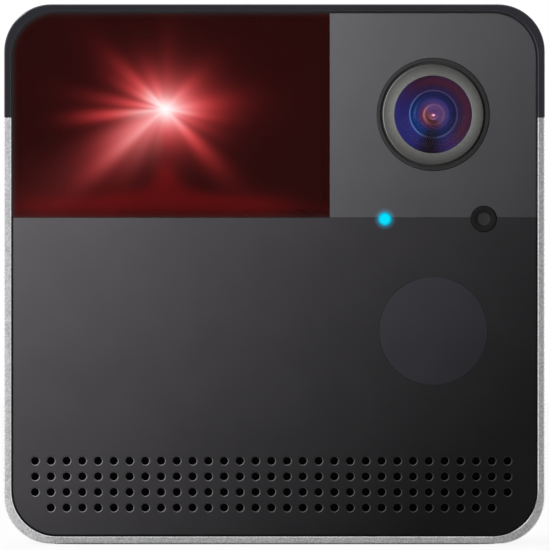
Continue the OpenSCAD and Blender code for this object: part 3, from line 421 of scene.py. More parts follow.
# Woven cloth behind the holes: over-and-under of two sets of stripes
def wovenCloth():
    material, tree = plainFinish("wovenCloth", size=1 * mm, rough=(0.7, 0.9), shine=0.2)
    weave = combine(tree, "MULTIPLY", stripes(tree, 0.3 * mm, "X"), stripes(tree, 0.3 * mm, "Z"))
    feed(tree, colour=twoTones(tree, weave, (0.003, 0.003, 0.003), (0.020, 0.020, 0.022), (0.1, 0.9)))
    bumped(tree, weave, 0.06 * mm)
    return material


# Solder mask over copper: tracks are the edges of cells
def boardMask():
    material, tree = plainFinish("boardMask", size=3 * mm, rough=(0.3, 0.45), shine=0.5)
    inputs = {"Vector": placeOn(tree), "Scale": 1 / (4 * mm)}
    tracks = addNode(tree, "TexVoronoi", inputs, distance="MANHATTAN").outputs["Distance"]
    feed(tree, colour=twoTones(tree, tracks, (0.012, 0.09, 0.035), (0.006, 0.045, 0.018), (0.35, 0.5)))
    bumped(tree, tracks, 0.02 * mm)
    return material


# Ruby glass of the laser: its own light, a little uneven
def laserGlass():
    material, tree = plainFinish("laserGlass", size=0.5 * mm, rough=(0.04, 0.1), shine=0.6,
                                 colour=(0.35, 0.01, 0.02), glowColour=(1.0, 0.18, 0.16))
    feed(tree, glow=spread(tree, speckle(tree, 1 * mm), 2.6, 3.4))
    return material


# Satin ring: tone times the piece's painted light and shade attribute
def satinRing():
    material = grained("satinRing", (0.060, 0.060, 0.057), (0.073, 0.073, 0.069), patch=0.5 * mm,
                       grain=0.12 * mm, depth=0.004 * mm, rough=(0.48, 0.56), shine=0.3)
    tree = material.node_tree
    turned = pointColour(tree, "turned")
    feed(tree, colour=combineVectors(tree, "MULTIPLY", fedBy(tree, "colour"), turned))
    return material


# Moulded plastic, foam or rubber; the depth of its grain is in mm
def moulded(name, dark, light, rough=(0.45, 0.6), depth=0.006, **values):
    return grained(name, dark, light, patch=6 * mm, grain=0.25 * mm, depth=depth * mm, rough=rough, **values)


# Bare metal, drawn out along an axis where stretch is below 1
def metal(name, dark, light, rough, stretch=(1, 1, 1)):
    return grained(name, dark, light, patch=0.6 * mm, grain=0.2 * mm, depth=0.004 * mm, rough=rough,
                   stretch=stretch, metallic=1.0)


finishes = {
    # painted highlight along the rim's chamfers, turned down to a painted shade at the corner that faces the
    # upper left light
    "sleeve_aluminium": crowned(chamferHighlights(
        grained("blastedAluminium", (0.36, 0.36, 0.365), (0.635, 0.635, 0.645), patch=0.30 * mm,
                grain=0.22 * mm, depth=0.010 * mm, rough=(0.42, 0.52), metallic=1.0),
        cadLow.y, gain=(1.65, 0.8), rough=(0.14, 0.55), turns=(0.50, 0.64))),
    # painted highlight line on the visor's chamfers, brighter where they face the upper left light
    "visor_black": chamferHighlights(
        grained("visorPlastic", (0.0358, 0.0362, 0.0475), (0.0426, 0.0428, 0.0558), patch=8 * mm,
                grain=0.15 * mm, depth=0.004 * mm, rough=(0.34, 0.42), shine=0.4),
        cadLow.y, gain=(1.5, 2.6), rough=(0.16, 0.16)),
    "panel_black": panelPlastic("panelPlastic", (0.0246, 0.0232, 0.0249), (0.0274, 0.0258, 0.0278)),
    "camera_panel_black": panelPlastic("cameraPanelPlastic", (0.0530, 0.0520, 0.0555),
                                       (0.0570, 0.0560, 0.0595)),
    "round_window_black": panelPlastic("roundWindowPlastic", (0.0335, 0.0325, 0.0385),
                                       (0.0365, 0.0355, 0.042)),
    "frame_black": moulded("framePlastic", (0.037, 0.033, 0.036), (0.049, 0.044, 0.048)),
    "window_red": panePlastic(),
    "bezel_black": moulded("bezelPlastic", (0.0188, 0.0188, 0.0195), (0.0225, 0.0225, 0.0233), (0.6, 0.7),
                           depth=0.003, shine=0.06),
    "ring_grey": satinRing(),
    "lens_coated": coatedGlass(),
    "optics_black": moulded("opticsBlack", (0.006, 0.006, 0.007), (0.010, 0.010, 0.011), (0.6, 0.8)),
    "light_cyan": lightPipe(),
    "sensor_smoke": moulded("smokedSensor", (0.027, 0.026, 0.028), (0.032, 0.031, 0.033), (0.5, 0.6),
                            depth=0.002, shine=0.06),
    "mesh_black": wovenCloth(),
    "foam_black": moulded("gasketFoam", (0.010, 0.010, 0.010), (0.022, 0.022, 0.022), (0.85, 0.95),
                          depth=0.05),
    "pad_rubber": moulded("padRubber", (0.012, 0.012, 0.012), (0.020, 0.020, 0.021), (0.75, 0.9), depth=0.02),
    "board_green": boardMask(),
    "chip_black": moulded("chipResin", (0.010, 0.010, 0.011), (0.018, 0.018, 0.019), (0.5, 0.65)),
    "can_steel": metal("canSteel", (0.46, 0.45, 0.43), (0.60, 0.59, 0.57), (0.28, 0.38), (0.1, 1, 1)),
    "screw_steel": metal("screwSteel", (0.50, 0.49, 0.47), (0.62, 0.61, 0.59), (0.25, 0.35)),
    "screw_black": metal("blackedSteel", (0.040, 0.040, 0.042), (0.065, 0.065, 0.068), (0.35, 0.5)),
    "sink_aluminium": metal("sinkAluminium", (0.62, 0.62, 0.63), (0.76, 0.76, 0.77), (0.35, 0.45),
                            (1, 0.1, 1)),
    "ribbon_amber": ribbonFilm(),
    "insert_brass": metal("insertBrass", (0.60, 0.40, 0.14), (0.74, 0.53, 0.22), (0.24, 0.36)),
    "gear_ivory": moulded("gearAcetal", (0.62, 0.58, 0.48), (0.70, 0.66, 0.56), (0.35, 0.5)),
    "laser_brass": metal("laserBrass", (0.64, 0.44, 0.16), (0.76, 0.56, 0.25), (0.22, 0.32)),
    "laser_ruby": laserGlass(),
    "inner_grey": moulded("innerPlastic", (0.16, 0.16, 0.17), (0.21, 0.21, 0.22)),
}
for part in nodes.values():
    for place in part.material_slots:
        place.material = finishes[place.material.name]
print("finishes set:", len(finishes))

# Shapes

weldGap = 1e-7
crease = np.radians(32)  # edges that turn by more stay sharp


# Quads between neighbours of a rows by columns grid; with loop the last column joins the first
def gridQuads(rows, columns, loop=False):
    row, column = np.meshgrid(np.arange(rows - 1), np.arange(columns - (0 if loop else 1)), indexing="ij")
    after = (column + 1) % columns
    near, far = row * columns, (row + 1) * columns
    return np.stack([near + column, near + after, far + after, far + column], -1).reshape(-1, 4)


# Faces of a bar with four points at each step, closed at both ends
def barFaces(steps):
    last = 4 * (steps - 1)
    return gridQuads(steps, 4, loop=True).tolist() + [[0, 1, 2, 3], [last + 3, last + 2, last + 1, last]]


# Points and faces become a piece: poles and seams welded, faces turned outwards, creases kept sharp
def makePiece(name, points, faces, slot, body="case", replaced=()):
    mesh = bpy.data.meshes.new(name)
    mesh.from_pydata(points.reshape(-1, 3).tolist(), [], faces if isinstance(faces, list) else faces.tolist())
    work = bmesh.new()
    work.from_mesh(mesh)
    bmesh.ops.remove_doubles(work, verts=work.verts, dist=weldGap)
    bmesh.ops.recalc_face_normals(work, faces=work.faces)
    work.to_mesh(mesh)
    work.free()
    mesh.shade_smooth()
    mesh.set_sharp_from_angle(angle=crease)
    mesh.materials.append(finishes[slot])
    piece = bpy.data.objects.new(name, mesh)
    scene.collection.objects.link(piece)
    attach(piece, body)
    if replaced:
        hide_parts(*replaced)
    return piece


# Colour attribute worked out from every point at once
def paintPoints(piece, name, formula):
    mesh = piece.data
    where = np.empty(3 * len(mesh.vertices))
    mesh.vertices.foreach_get("co", where)
    tint = formula(*where.reshape(-1, 3).T)
    layer = mesh.attributes.new(name, "FLOAT_COLOR", "POINT")
    layer.data.foreach_set("color", np.column_stack([tint, np.ones(len(tint))]).ravel())


# Profile of (radius, y) carried round the Y axis through x, z: (x + r cos t, y, z + r sin t)
def revolve(profile, x, z, steps):
    r, y = np.array(profile, float).T
    t = np.linspace(0, turn, steps, endpoint=False)
    across, up = x + np.outer(r, np.cos(t)), z + np.outer(r, np.sin(t))
    return np.stack([across, np.outer(y, np.ones(steps)), up], -1), gridQuads(len(r), steps, loop=True)


# Elliptic arc of profile points round (r, y): (r + a cos t, y + b sin t), t between two angles in degrees
def arc(r, y, a, b, first, last, count):
    t = np.radians(np.linspace(first, last, count))
    return np.column_stack([r + a * np.cos(t), y + b * np.sin(t)])


# Laser pane: a flat grid whose top edge drops to an arc at the outer corner, with a small chamfer round it
# and a flat back
pane = {"corner": 8.2 * mm, "edge": 0.15 * mm, "arcColumns": 40, "columns": 210, "rows": 156}

# Each ray of the glare: angle and spread in degrees; red strength, reach in mm and power of its fade; white
# strength and reach
glareRays = [
    (193, 8.0, 0.42, 7.60, 2.5, 0.36, 5.3),
    (185.5, 4.8, 1.50, 11.6, 2.5, 0.40, 6.0),
    (171, 6.0, 5.60, 3.27, 1.0, 0.25, 3.6),
    (151, 7.0, 9.00, 2.35, 1.0, 0.75, 3.7),
    (137, 8.0, 5.60, 3.20, 1.0, 0.90, 3.7),
    (115, 12., 4.50, 2.15, 1.0, 0.10, 3.5),
    (88, 8.0, 0.06, 12.5, 2.5, 0.00, 4.0),
    (44, 12., 4.40, 2.40, 1.0, 0.10, 4.0),
    (26, 10., 2.65, 2.40, 1.0, 0.10, 4.0),
    (5, 13., 6.20, 3.15, 1.0, 0.28, 4.2),
    (350, 6.0, 9.50, 2.25, 1.0, 0.42, 3.9),
    (336, 8.0, 4.00, 2.50, 1.0, 0.06, 3.5),
    (312.5, 8.0, 6.10, 3.50, 1.0, 0.25, 4.2),
    (301, 9.0, 0.90, 2.60, 1.0, 0.10, 3.9),
    (280, 26., 7.00, 1.60, 1.0, 0.12, 2.8),
    (257, 9.0, 0.70, 2.80, 1.0, 0.050, 7.0),
    (237, 11., 1.30, 5.00, 1.0, 0.080, 8.8),
    (221, 6.0, 0.58, 15.5, 2.5, 0.15, 11.),
    (215, 12., 0.08, 26.0, 2.0, 0.006, 26.),
    (214, 14., 1.90, 9.80, 2.0, 0.20, 9.0),
]
glare = {
    "gain": 1.136, "whiteFade": 2.5, "bloom": 4.1, "bloomReach": 2.3, "core": 3.2, "coreReach": 0.87,
    "bloomTint": (1.0, 0.100, 0.105), "rayTint": (1.0, 0.060, 0.065), "floorGlowTint": (1.0, 0.012, 0.015),
    "rest": (0.0150, 0.0010, 0.0010), "veil": 0.012, "veilReach": 0.35, "band": 0.044, "bandRise": 2.35,
    "bandHeight": 2.15, "bandFrom": -47.1, "bandTo": 2.2, "bandSoft": 1.6, "bell": 0.115, "bellTop": 9.8,
    "bellRoot": 5.2, "bellWidth": 1.8, "bellFoot": 6.85, "bellCurve": 1.35,
}


# Soft step from 0 to 1: 1 / (1 + exp(-value))
def softStep(value):
    return 1 / (1 + np.exp(-value))


# Painted light in the pane at (x, z): a bloom and a white core that fade as exp(-r), rays that fade along
# their reach and to both sides of their angle, a painted red glow in a band near the lower edge and a bell
# under the core, a painted highlight veil at the edges, and a faint red rest all over;
# shown as 1 - exp(-sum)
def paneGlare(x, y, z):
    low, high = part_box("laser_window")
    spot, _ = middleOf("laser_lens")
    dx, dz, rise = (x - spot.x) / mm, (z - spot.z) / mm, (z - low.z) / mm
    away, angle = np.hypot(dx, dz), np.degrees(np.arctan2(dz, dx))
    bloom = glare["bloom"] * np.exp(-away / glare["bloomReach"])
    white = glare["core"] * np.exp(-away / glare["coreReach"])
    rays = np.zeros_like(x)
    for heading, width, redPart, redReach, fade, whitePart, whiteReach in glareRays:
        beside = (angle - heading + 180) % 360 - 180
        beam = np.exp(-(beside / width) ** 2)
        rays += redPart * beam * np.exp(-(away / redReach) ** fade)
        white += whitePart * beam * np.exp(-(away / whiteReach) ** glare["whiteFade"])
    soft = glare["bandSoft"]
    ends = softStep((x / mm - glare["bandFrom"]) / soft) * softStep((glare["bandTo"] - x / mm) / soft)
    band = glare["band"] * np.exp(-((rise - glare["bandRise"]) / glare["bandHeight"]) ** 2) * ends
    flare = glare["bellWidth"] + np.exp((glare["bellFoot"] - rise) / glare["bellCurve"])
    bell = glare["bell"] * np.exp(-(dx / flare) ** 2) * softStep(glare["bellTop"] - rise)
    bell *= 1 - np.exp(-(rise / glare["bellRoot"]) ** 2)
    cornerX, cornerZ = low.x + pane["corner"], high.z - pane["corner"]
    fromArc = np.hypot(np.minimum(x - cornerX, 0), np.maximum(z - cornerZ, 0))
    straight = np.where(fromArc > 0, pane["corner"], np.minimum(x - low.x, high.z - z))
    inside = np.minimum(pane["corner"] - fromArc, straight) / mm
    white += glare["veil"] * (np.exp(-inside / glare["veilReach"]) + np.exp(-rise / glare["veilReach"]))
    light = (np.outer(bloom, glare["bloomTint"]) + np.outer(rays, glare["rayTint"])
             + np.outer(band + bell, glare["floorGlowTint"]) + white[:, None] + np.array(glare["rest"]))
    return glare["gain"] * (1 - np.exp(-light))


def makeLaserPane():
    low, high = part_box("laser_window")

    # x and z of the grid, held in from the outline by inset
    def sheet(inset):
        radius, left = pane["corner"] - inset, low.x + inset
        sweep = radius * (1 - np.cos(np.linspace(0, np.pi / 2, pane["arcColumns"])))
        beyond = np.linspace(left + radius, high.x - inset, pane["columns"])[1:]
        across = np.concatenate([left + sweep, beyond])
        reach = np.clip(radius - (across - left), 0, radius)
        top = high.z - inset - radius + np.sqrt(radius ** 2 - reach ** 2)
        foot = low.z + inset
        height = foot + np.outer(np.linspace(0, 1, pane["rows"]), top - foot)
        return np.broadcast_to(across, height.shape), height

    # the grid's edge as one loop
    def rim(field):
        return np.concatenate([field[0, :-1], field[:-1, -1], field[-1, :0:-1], field[:0:-1, 0]])

    x, z = sheet(pane["edge"])
    outerX, outerZ = (rim(field) for field in sheet(0.0))
    front = np.stack([x, np.full_like(x, low.y), z], -1).reshape(-1, 3)
    depths = (low.y + pane["edge"], high.y)
    loops = [np.column_stack([outerX, np.full_like(outerX, y), outerZ]) for y in depths]
    count = len(outerX)
    around = x.size + np.arange(count)
    rings = np.stack([rim(np.arange(x.size).reshape(x.shape)), around, count + around])
    sides = rings.ravel()[gridQuads(3, count, loop=True)]
    faces = gridQuads(*x.shape).tolist() + sides.tolist() + [rings[2].tolist()]
    points = np.concatenate([front, *loops])
    piece = makePiece("laserPane", points, faces, "window_red", replaced=["laser_window"])
    # painted light of the laser's glare, kept at the pane's points
    paintPoints(piece, "glare", paneGlare)


# Seal in the gap over the upper panels: a square section carried up the left side, round both corners and
# down the right
seal = {"from": 0.03 * mm, "to": 0.36 * mm, "sunk": 0.25 * mm, "deep": 0.9 * mm, "arcSteps": 20}


def makeSeal():
    low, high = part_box("laser_window")
    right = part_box("camera_panel")[1].x
    t = np.radians(np.linspace(180, 90, seal["arcSteps"]))
    side = np.stack([np.cos(t), np.sin(t)])
    x = np.concatenate([[low.x + pane["corner"]] * (len(t) + 1), [right - pane["corner"]] * (len(t) + 1)])
    z = np.concatenate([[low.z], [high.z - pane["corner"]] * (2 * len(t)), [low.z]])
    outX = np.concatenate([[-1], side[0], -side[0][::-1], [1]])
    outZ = np.concatenate([[0], side[1], side[1][::-1], [0]])
    reach = pane["corner"] + np.array([seal["from"], seal["to"], seal["to"], seal["from"]])
    y = low.y + np.array([seal["sunk"], seal["sunk"], seal["deep"], seal["deep"]])
    points = np.stack([x[:, None] + np.outer(outX, reach), np.broadcast_to(y, (len(x), 4)),
                       z[:, None] + np.outer(outZ, reach)], -1)
    makePiece("panelSeal", points, barFaces(len(x)), "frame_black")


makeLaserPane()
makeSeal()
print("laser pane and seal made")

# Lens: bezel, flat ring, clear dome and the coated rings inside, all round one axis; the coated rings stand a
# little aside
lens = {
    "bezelIn": 9.9 * mm, "bezelRound": 0.16 * mm, "groove": 0.4 * mm, "bezelFit": 0.03 * mm,
    "domeSag": 1.6 * mm, "domeR": 7.26 * mm, "domeFit": 0.05 * mm, "domeRings": 24,
    "ringEdge": 0.16 * mm, "ringFlat": (0.6, 1.4),  # the flat starts and ends so many edges in
    "cupDeep": 2.6 * mm, "cupLip": 0.2 * mm, "lipDeep": 0.05 * mm, "wideDeep": 3.7 * mm, "narrowR": 6.0 * mm,
    "steps": 128, "domeSteps": 96,
}

# Inside of the cup from the middle out, in mm: an arc has its centre as radius and depth, its half sizes, its
# two angles and its points, and a cone its two ends and its points
cupMouth = (6.90, -2.45)
cupParts = [
    (arc, 0.00, 0.35, 0.60, 0.25, 270, 345, 10),  # centre
    (arc, 0.78, 0.35, 0.10, 0.12, 180, 360, 9),  # bead round it
    (arc, 0.95, 1.20, 0.80, 0.80, 270, 345, 10),  # third element
    (arc, 1.90, 0.90, 0.15, 0.18, 180, 360, 11),  # bead round it
    (np.linspace, (2.08, 0.90), (2.92, 0.25), 8),
    (arc, 2.95, 1.00, 1.35, 0.80, 270, 340, 12),  # domed second element
    (arc, 4.46, 0.10, 0.12, 0.12, 180, 330, 9),  # bead round it
    (np.linspace, (4.66, 0.00), cupMouth, 12),
]

# How far the coated rings stand from the lens axis, by radius, in mm: to the right and up
aside = {0.0: (0.08, -0.10), 1.0: (0.08, -0.10), 1.9: (0.20, 0.02), 2.9: (0.08, 0.08), 7.0: (0.08, 0.08)}


# Each column of a table by radius, read at r between its rows
def byRadius(r, table):
    return [np.interp(r, list(table), column) for column in zip(*table.values())]


def ringAside(r):
    return [shift * mm for shift in byRadius(r / mm, aside)]


def makeLens():
    glass, _ = middleOf("lens_glass")
    x, z, steps = glass.x, glass.z, lens["steps"]
    ringLow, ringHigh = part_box("lens_ring")
    bezelLow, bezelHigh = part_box("lens_bezel")
    barrelLow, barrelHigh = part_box("lens_barrel")
    ringR, bezelR, barrelR = ringHigh.x - x, bezelHigh.x - x, barrelHigh.x - x
    front, back = ringLow.y, barrelLow.y

    bezelIn, bore, edge = lens["bezelIn"], ringR + lens["bezelFit"], lens["bezelRound"]
    profile = np.concatenate([
        [(bore, bezelHigh.y), (bore, bezelLow.y + lens["groove"])],
        [(bezelIn, bezelLow.y + lens["groove"]), (bezelIn, bezelLow.y + edge)],
        arc(bezelIn + edge, bezelLow.y + edge, edge, edge, 180, 270, 7),
        arc(bezelR - edge, bezelLow.y + edge, edge, edge, 270, 360, 7),
        [(bezelR, bezelHigh.y), (bore, bezelHigh.y)],
    ])
    makePiece("lensBezel", *revolve(profile, x, z, steps), "bezel_black", replaced=["lens_bezel"])

    inner, edge = lens["domeR"] + lens["domeFit"], lens["ringEdge"]
    half = edge / 2
    flatFrom, flatTo = lens["ringFlat"]
    profile = np.concatenate([
        [(inner, ringHigh.y)],
        arc(inner + half, front + half, half, half, 180, 270, 5),
        np.linspace((inner + flatFrom * edge, front), (ringR - flatTo * edge, front), 6),
        arc(ringR - edge, front + edge, edge, edge, 270, 360, 7),
        [(ringR, ringHigh.y), (inner, ringHigh.y)],
    ])
    piece = makePiece("lensRing", *revolve(profile, x, z, steps), "ring_grey", replaced=["lens_ring"])
    # painted light and shade of the ring, kept at its points
    paintPoints(piece, "turned", ringShade)

    # the dome is a cap of a ball: its radius from the sag and the half width
    sag, domeR = lens["domeSag"], lens["domeR"]
    ball = (domeR ** 2 + sag ** 2) / (2 * sag)
    reach = np.linspace(0, domeR, lens["domeRings"])
    dome = np.column_stack([reach, front + ball - np.sqrt(ball ** 2 - reach ** 2)])
    profile = np.concatenate([dome, [(domeR, back), (0, back)]])
    piece = makePiece("lensDome", *revolve(profile, x, z, lens["domeSteps"]), "lens_coated",
                      replaced=["lens_glass"])
    piece.data.materials[0] = clearDome()

    inside = np.concatenate([shape(*row) for shape, *row in cupParts]) * mm + (0, back + lens["cupDeep"])
    lip, wide, narrowR = back + lens["lipDeep"], back + lens["wideDeep"], lens["narrowR"]
    outside = [(cupMouth[0] * mm + lens["cupLip"], lip), (barrelR, lip), (barrelR, wide),
               (narrowR, wide), (narrowR, barrelHigh.y), (0, barrelHigh.y)]
    points, faces = revolve(np.concatenate([inside, outside]), x, z, steps)
    points[:len(inside), :, ::2] += np.stack(ringAside(inside[:, 0]), -1)[:, None]
    piece = makePiece("lensCup", points, faces, "lens_coated", replaced=["lens_barrel", "lens_inner_element"])
    # painted reflections of the coated rings, with their lit and shaded sides, kept at the cup's points
    paintPoints(piece, "coating", lensReflectionPaint)


# Painted light and shade on the ring's face: lighter to both sides than up and down, 1 + sides cos(2t + tilt)
# + right cos t, falling from the inside to the outside, with a painted highlight on the outer edge of
# max(least, lift - cos t), bright on the left
ringShading = {"sides": 0.25, "tilt": 0.28, "right": 0.06, "fall": (1.52, 0.30), "least": 0.3, "lift": 0.5,
            "edges": 1.2}


def ringShade(x, y, z):
    glass, _ = middleOf("lens_glass")
    t = np.arctan2(z - glass.z, x - glass.x)
    shade = 1 + ringShading["sides"] * np.cos(2 * t + ringShading["tilt"]) + ringShading["right"] * np.cos(t)
    r, ringR = np.hypot(x - glass.x, z - glass.z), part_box("lens_ring")[1].x - glass.x
    fall = np.interp(r, [lens["domeR"], ringR], ringShading["fall"])
    edge = np.maximum(ringShading["least"], ringShading["lift"] - np.cos(t))
    onEdge = r > ringR - ringShading["edges"] * lens["ringEdge"]
    return np.outer(shade * np.where(onEdge, edge, fall), np.ones(3))


# Painted reflections of the coating by radius in mm: tint on the side that faces the light, and on the side
# away from it
reflectionRings = {
    0.00: ((1.00, 0.72, 0.86), (1.00, 0.72, 0.86)),
    0.18: ((0.66, 0.36, 0.52), (0.66, 0.36, 0.52)),
    0.30: ((0.18, 0.045, 0.14), (0.26, 0.050, 0.09)),
    0.58: ((0.10, 0.030, 0.12), (0.14, 0.03, 0.05)),
    0.78: ((0.24, 0.12, 0.29), (0.27, 0.14, 0.25)),
    0.92: ((0.075, 0.035, 0.15), (0.10, 0.022, 0.026)),
    1.45: ((0.095, 0.045, 0.14), (0.11, 0.022, 0.020)),
    1.70: ((0.110, 0.055, 0.14), (0.15, 0.040, 0.045)),
    1.90: ((0.115, 0.068, 0.17), (0.12, 0.050, 0.065)),
    2.08: ((0.070, 0.035, 0.13), (0.12, 0.028, 0.070)),
    2.60: ((0.035, 0.028, 0.12), (0.070, 0.018, 0.080)),
    2.86: ((0.030, 0.028, 0.13), (0.050, 0.034, 0.13)),
    3.10: ((0.013, 0.014, 0.075), (0.003, 0.016, 0.12)),
    3.60: ((0.011, 0.012, 0.056), (0.001, 0.022, 0.13)),
    4.30: ((0.010, 0.011, 0.052), (0.001, 0.020, 0.115)),
    4.38: ((0.044, 0.036, 0.092), (0.075, 0.135, 0.33)),
    4.54: ((0.044, 0.036, 0.092), (0.075, 0.135, 0.33)),
    4.66: ((0.017, 0.011, 0.050), (0.018, 0.022, 0.165)),
    5.50: ((0.027, 0.011, 0.032), (0.022, 0.021, 0.155)),
    6.15: ((0.050, 0.011, 0.024), (0.020, 0.020, 0.145)),
    6.90: ((0.032, 0.011, 0.030), (0.027, 0.025, 0.165)),
}
coating = {
    "litFrom": 40, "turnsAt": (0.30, 1.0), "firstAside": 0.08 * mm,
    "dotR": 0.6, "dotWide": 1.25, "dotTall": 0.8,
    "beadR": 0.78, "beadHalf": 0.12, "beadTone": 0.62, "beadTurn": 0.25,
    "flareAt": 176, "flareSpread": 46, "flareR": 1.88, "flareWide": 0.17, "flareTint": (0.23, 0.110, 0.110),
    "wedgeTint": (0.008, 0.005, 0.006), "wedgePower": 2.4,
    "hiddenPast": 0.32, "hiddenDeep": 3.6 * mm, "hiddenShadeTint": 0.006,
}

# Dark wedge at the bottom by radius in mm: its angle, its spread and how much of the tint it takes
wedge = {0.9: (266, 42, 0.0), 1.15: (266, 42, 0.6), 1.9: (268, 38, 0.5), 2.3: (268, 34, 0.62),
         3.6: (266, 27, 0.88), 4.6: (263, 25, 0.96), 7.0: (263, 25, 0.98)}


# Painted reflection tint at a point: between the lit and shaded sides by a smooth step of 0.5 - 0.5 cos(angle
# from the lit side), times tone - turn sin(angle) on the inner bead, with a painted reddish highlight on the
# next bead, then drawn to the dark wedge by exp(-(angle / spread) ^ power); the centre, a painted highlight
# dot, is read on an ellipse
def lensReflectionPaint(x, y, z):
    glass, _ = middleOf("lens_glass")
    dx, dz = x - glass.x, z - glass.z
    right, up = ringAside(np.hypot(dx - coating["firstAside"], dz))
    dx, dz = (dx - right) / mm, (dz - up) / mm
    r, angle = np.hypot(dx, dz), np.degrees(np.arctan2(dz, dx)) % 360
    r = np.where(r < coating["dotR"], np.hypot(dx / coating["dotWide"], dz / coating["dotTall"]), r)
    lit, unlit = ({at: sides[i] for at, sides in reflectionRings.items()} for i in range(2))
    litSide, shadedSide = np.column_stack(byRadius(r, lit)), np.column_stack(byRadius(r, unlit))
    turned = 0.5 - 0.5 * np.cos(np.radians(angle - coating["litFrom"]))
    first, last = coating["turnsAt"]
    s = np.clip((turned - first) / (last - first), 0, 1)
    s = (s * s * (3 - 2 * s))[:, None]
    tint = litSide * (1 - s) + shadedSide * s
    onBead = abs(r - coating["beadR"]) < coating["beadHalf"]
    beadTone = coating["beadTone"] - coating["beadTurn"] * np.sin(np.radians(angle))
    tint = tint * np.where(onBead, beadTone, 1.0)[:, None]
    flare = np.exp(-((angle - coating["flareAt"]) / coating["flareSpread"]) ** 2
                   - ((r - coating["flareR"]) / coating["flareWide"]) ** 2)
    tint = tint + np.outer(flare, coating["flareTint"])
    at, width, share = byRadius(r, wedge)
    share = share * np.exp(-abs((angle - at) / width) ** coating["wedgePower"])
    tint = tint + share[:, None] * (np.array(coating["wedgeTint"]) - tint)
    # painted shade: a near black tint out past the cup's mouth and deep in the barrel
    outside = r > cupMouth[0] + coating["hiddenPast"]
    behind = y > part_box("lens_barrel")[0].y + coating["hiddenDeep"]
    return np.where((outside | behind)[:, None], coating["hiddenShadeTint"], tint)


makeLens()
print("lens made")

# Status light with a low dome, and the light sensor with a rounded ring and a dished window; the slope inside
# the ring is given in rounds of its edge
indicator = {"lightDome": 0.22 * mm, "dish": 0.10 * mm, "ringRound": 0.22 * mm, "ringFit": 0.05 * mm,
             "slopeFrom": 1.1, "slopeTo": 0.2, "slopeWide": 1.5, "steps": 48, "ringSteps": 64}


def makeIndicators():
    middle, half = middleOf("light_pipe")
    low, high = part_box("light_pipe")
    profile = np.concatenate([
        arc(0, low.y, half.x, indicator["lightDome"], 270, 360, 10), [(half.x, high.y), (0, high.y)],
    ])
    light = revolve(profile, middle.x, middle.z, indicator["steps"])
    makePiece("statusLight", *light, "light_cyan", replaced=["light_pipe"])

    middle, half = middleOf("sensor_bezel")
    low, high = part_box("sensor_bezel")
    _, window = middleOf("sensor_lens")
    bore, edge = window.x + indicator["ringFit"], indicator["ringRound"]
    profile = np.concatenate([
        [(bore, high.y), (bore, low.y + indicator["slopeFrom"] * edge)],
        [(bore + indicator["slopeWide"] * edge, low.y + indicator["slopeTo"] * edge)],
        arc(half.x - edge, low.y + edge, edge, edge, 270, 360, 7),
        [(half.x, high.y), (bore, high.y)],
    ])
    ring = revolve(profile, middle.x, middle.z, indicator["ringSteps"])
    piece = makePiece("sensorRing", *ring, "bezel_black", replaced=["sensor_bezel"])
    piece.data.materials[0] = moulded("sensorRingPlastic", (0.0115, 0.0110, 0.0115), (0.0155, 0.0150, 0.0155),
                                      (0.7, 0.85), depth=0.003, shine=0.04)
    low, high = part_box("sensor_lens")
    profile = np.concatenate([
        arc(0, low.y, window.x, indicator["dish"], 90, 0, 8), [(window.x, high.y), (0, high.y)],
    ])
    dished = revolve(profile, middle.x, middle.z, indicator["steps"])
    makePiece("sensorWindow", *dished, "sensor_smoke", replaced=["sensor_lens"])


makeIndicators()
print("indicators made")

# Cover screws: countersunk heads with a cross recess, depth * step(distance to the cross outline)
screw = {"headR": 2.2 * mm, "headDeep": 1.3 * mm, "rim": 0.1 * mm, "rimDrop": 0.06 * mm, "lip": 0.2 * mm,
         "shankR": 1.1 * mm, "tip": 1.0 * mm, "tipShare": 0.5, "armW": 0.36 * mm, "armL": 1.35 * mm,
         "recess": 0.7 * mm, "soft": 0.12 * mm, "rings": 26, "steps": 96}


def makeCoverScrews():
    low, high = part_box("cover_screws")
    headR, shankR, tall = screw["headR"], screw["shankR"], high.y - low.y
    face = np.linspace(0, headR - screw["rim"], screw["rings"])
    r = np.concatenate([face, [headR, headR, shankR, shankR, screw["tipShare"] * shankR, 0]])
    below = [screw["rimDrop"], screw["lip"], screw["headDeep"], tall - screw["tip"], tall, tall]
    drop = np.concatenate([np.zeros_like(face), below])
    t = np.linspace(0, turn, screw["steps"], endpoint=False) + np.pi / screw["steps"]
    across, up = np.outer(r, np.cos(t)), np.outer(r, np.sin(t))
    outside = np.minimum(np.maximum(abs(across) - screw["armW"], abs(up) - screw["armL"]),
                         np.maximum(abs(up) - screw["armW"], abs(across) - screw["armL"]))
    sunk = screw["recess"] * np.clip(0.5 - outside / screw["soft"], 0, 1)
    sunk[screw["rings"]:] = 0
    y = high.y - drop[:, None] - sunk
    spots = [(x, z) for x in (low.x + headR, high.x - headR) for z in (low.z + headR, high.z - headR)]
    points = np.stack([np.stack([x + across, y, z + up], -1) for x, z in spots]).reshape(-1, 3)
    quads = gridQuads(len(r), screw["steps"], loop=True)
    faces = np.concatenate([quads + i * r.size * screw["steps"] for i in range(len(spots))])
    makePiece("coverScrews", points, faces, "screw_black", replaced=["cover_screws"])


# Reset button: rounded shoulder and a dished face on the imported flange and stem
button = {"round": 0.35 * mm, "dish": 0.25 * mm, "dishRounds": 1.6, "flange": 0.8 * mm, "flangeLip": 0.8 * mm,
          "coverWall": 2.5 * mm, "gap": 0.1 * mm, "stemShare": 0.5, "steps": 64}


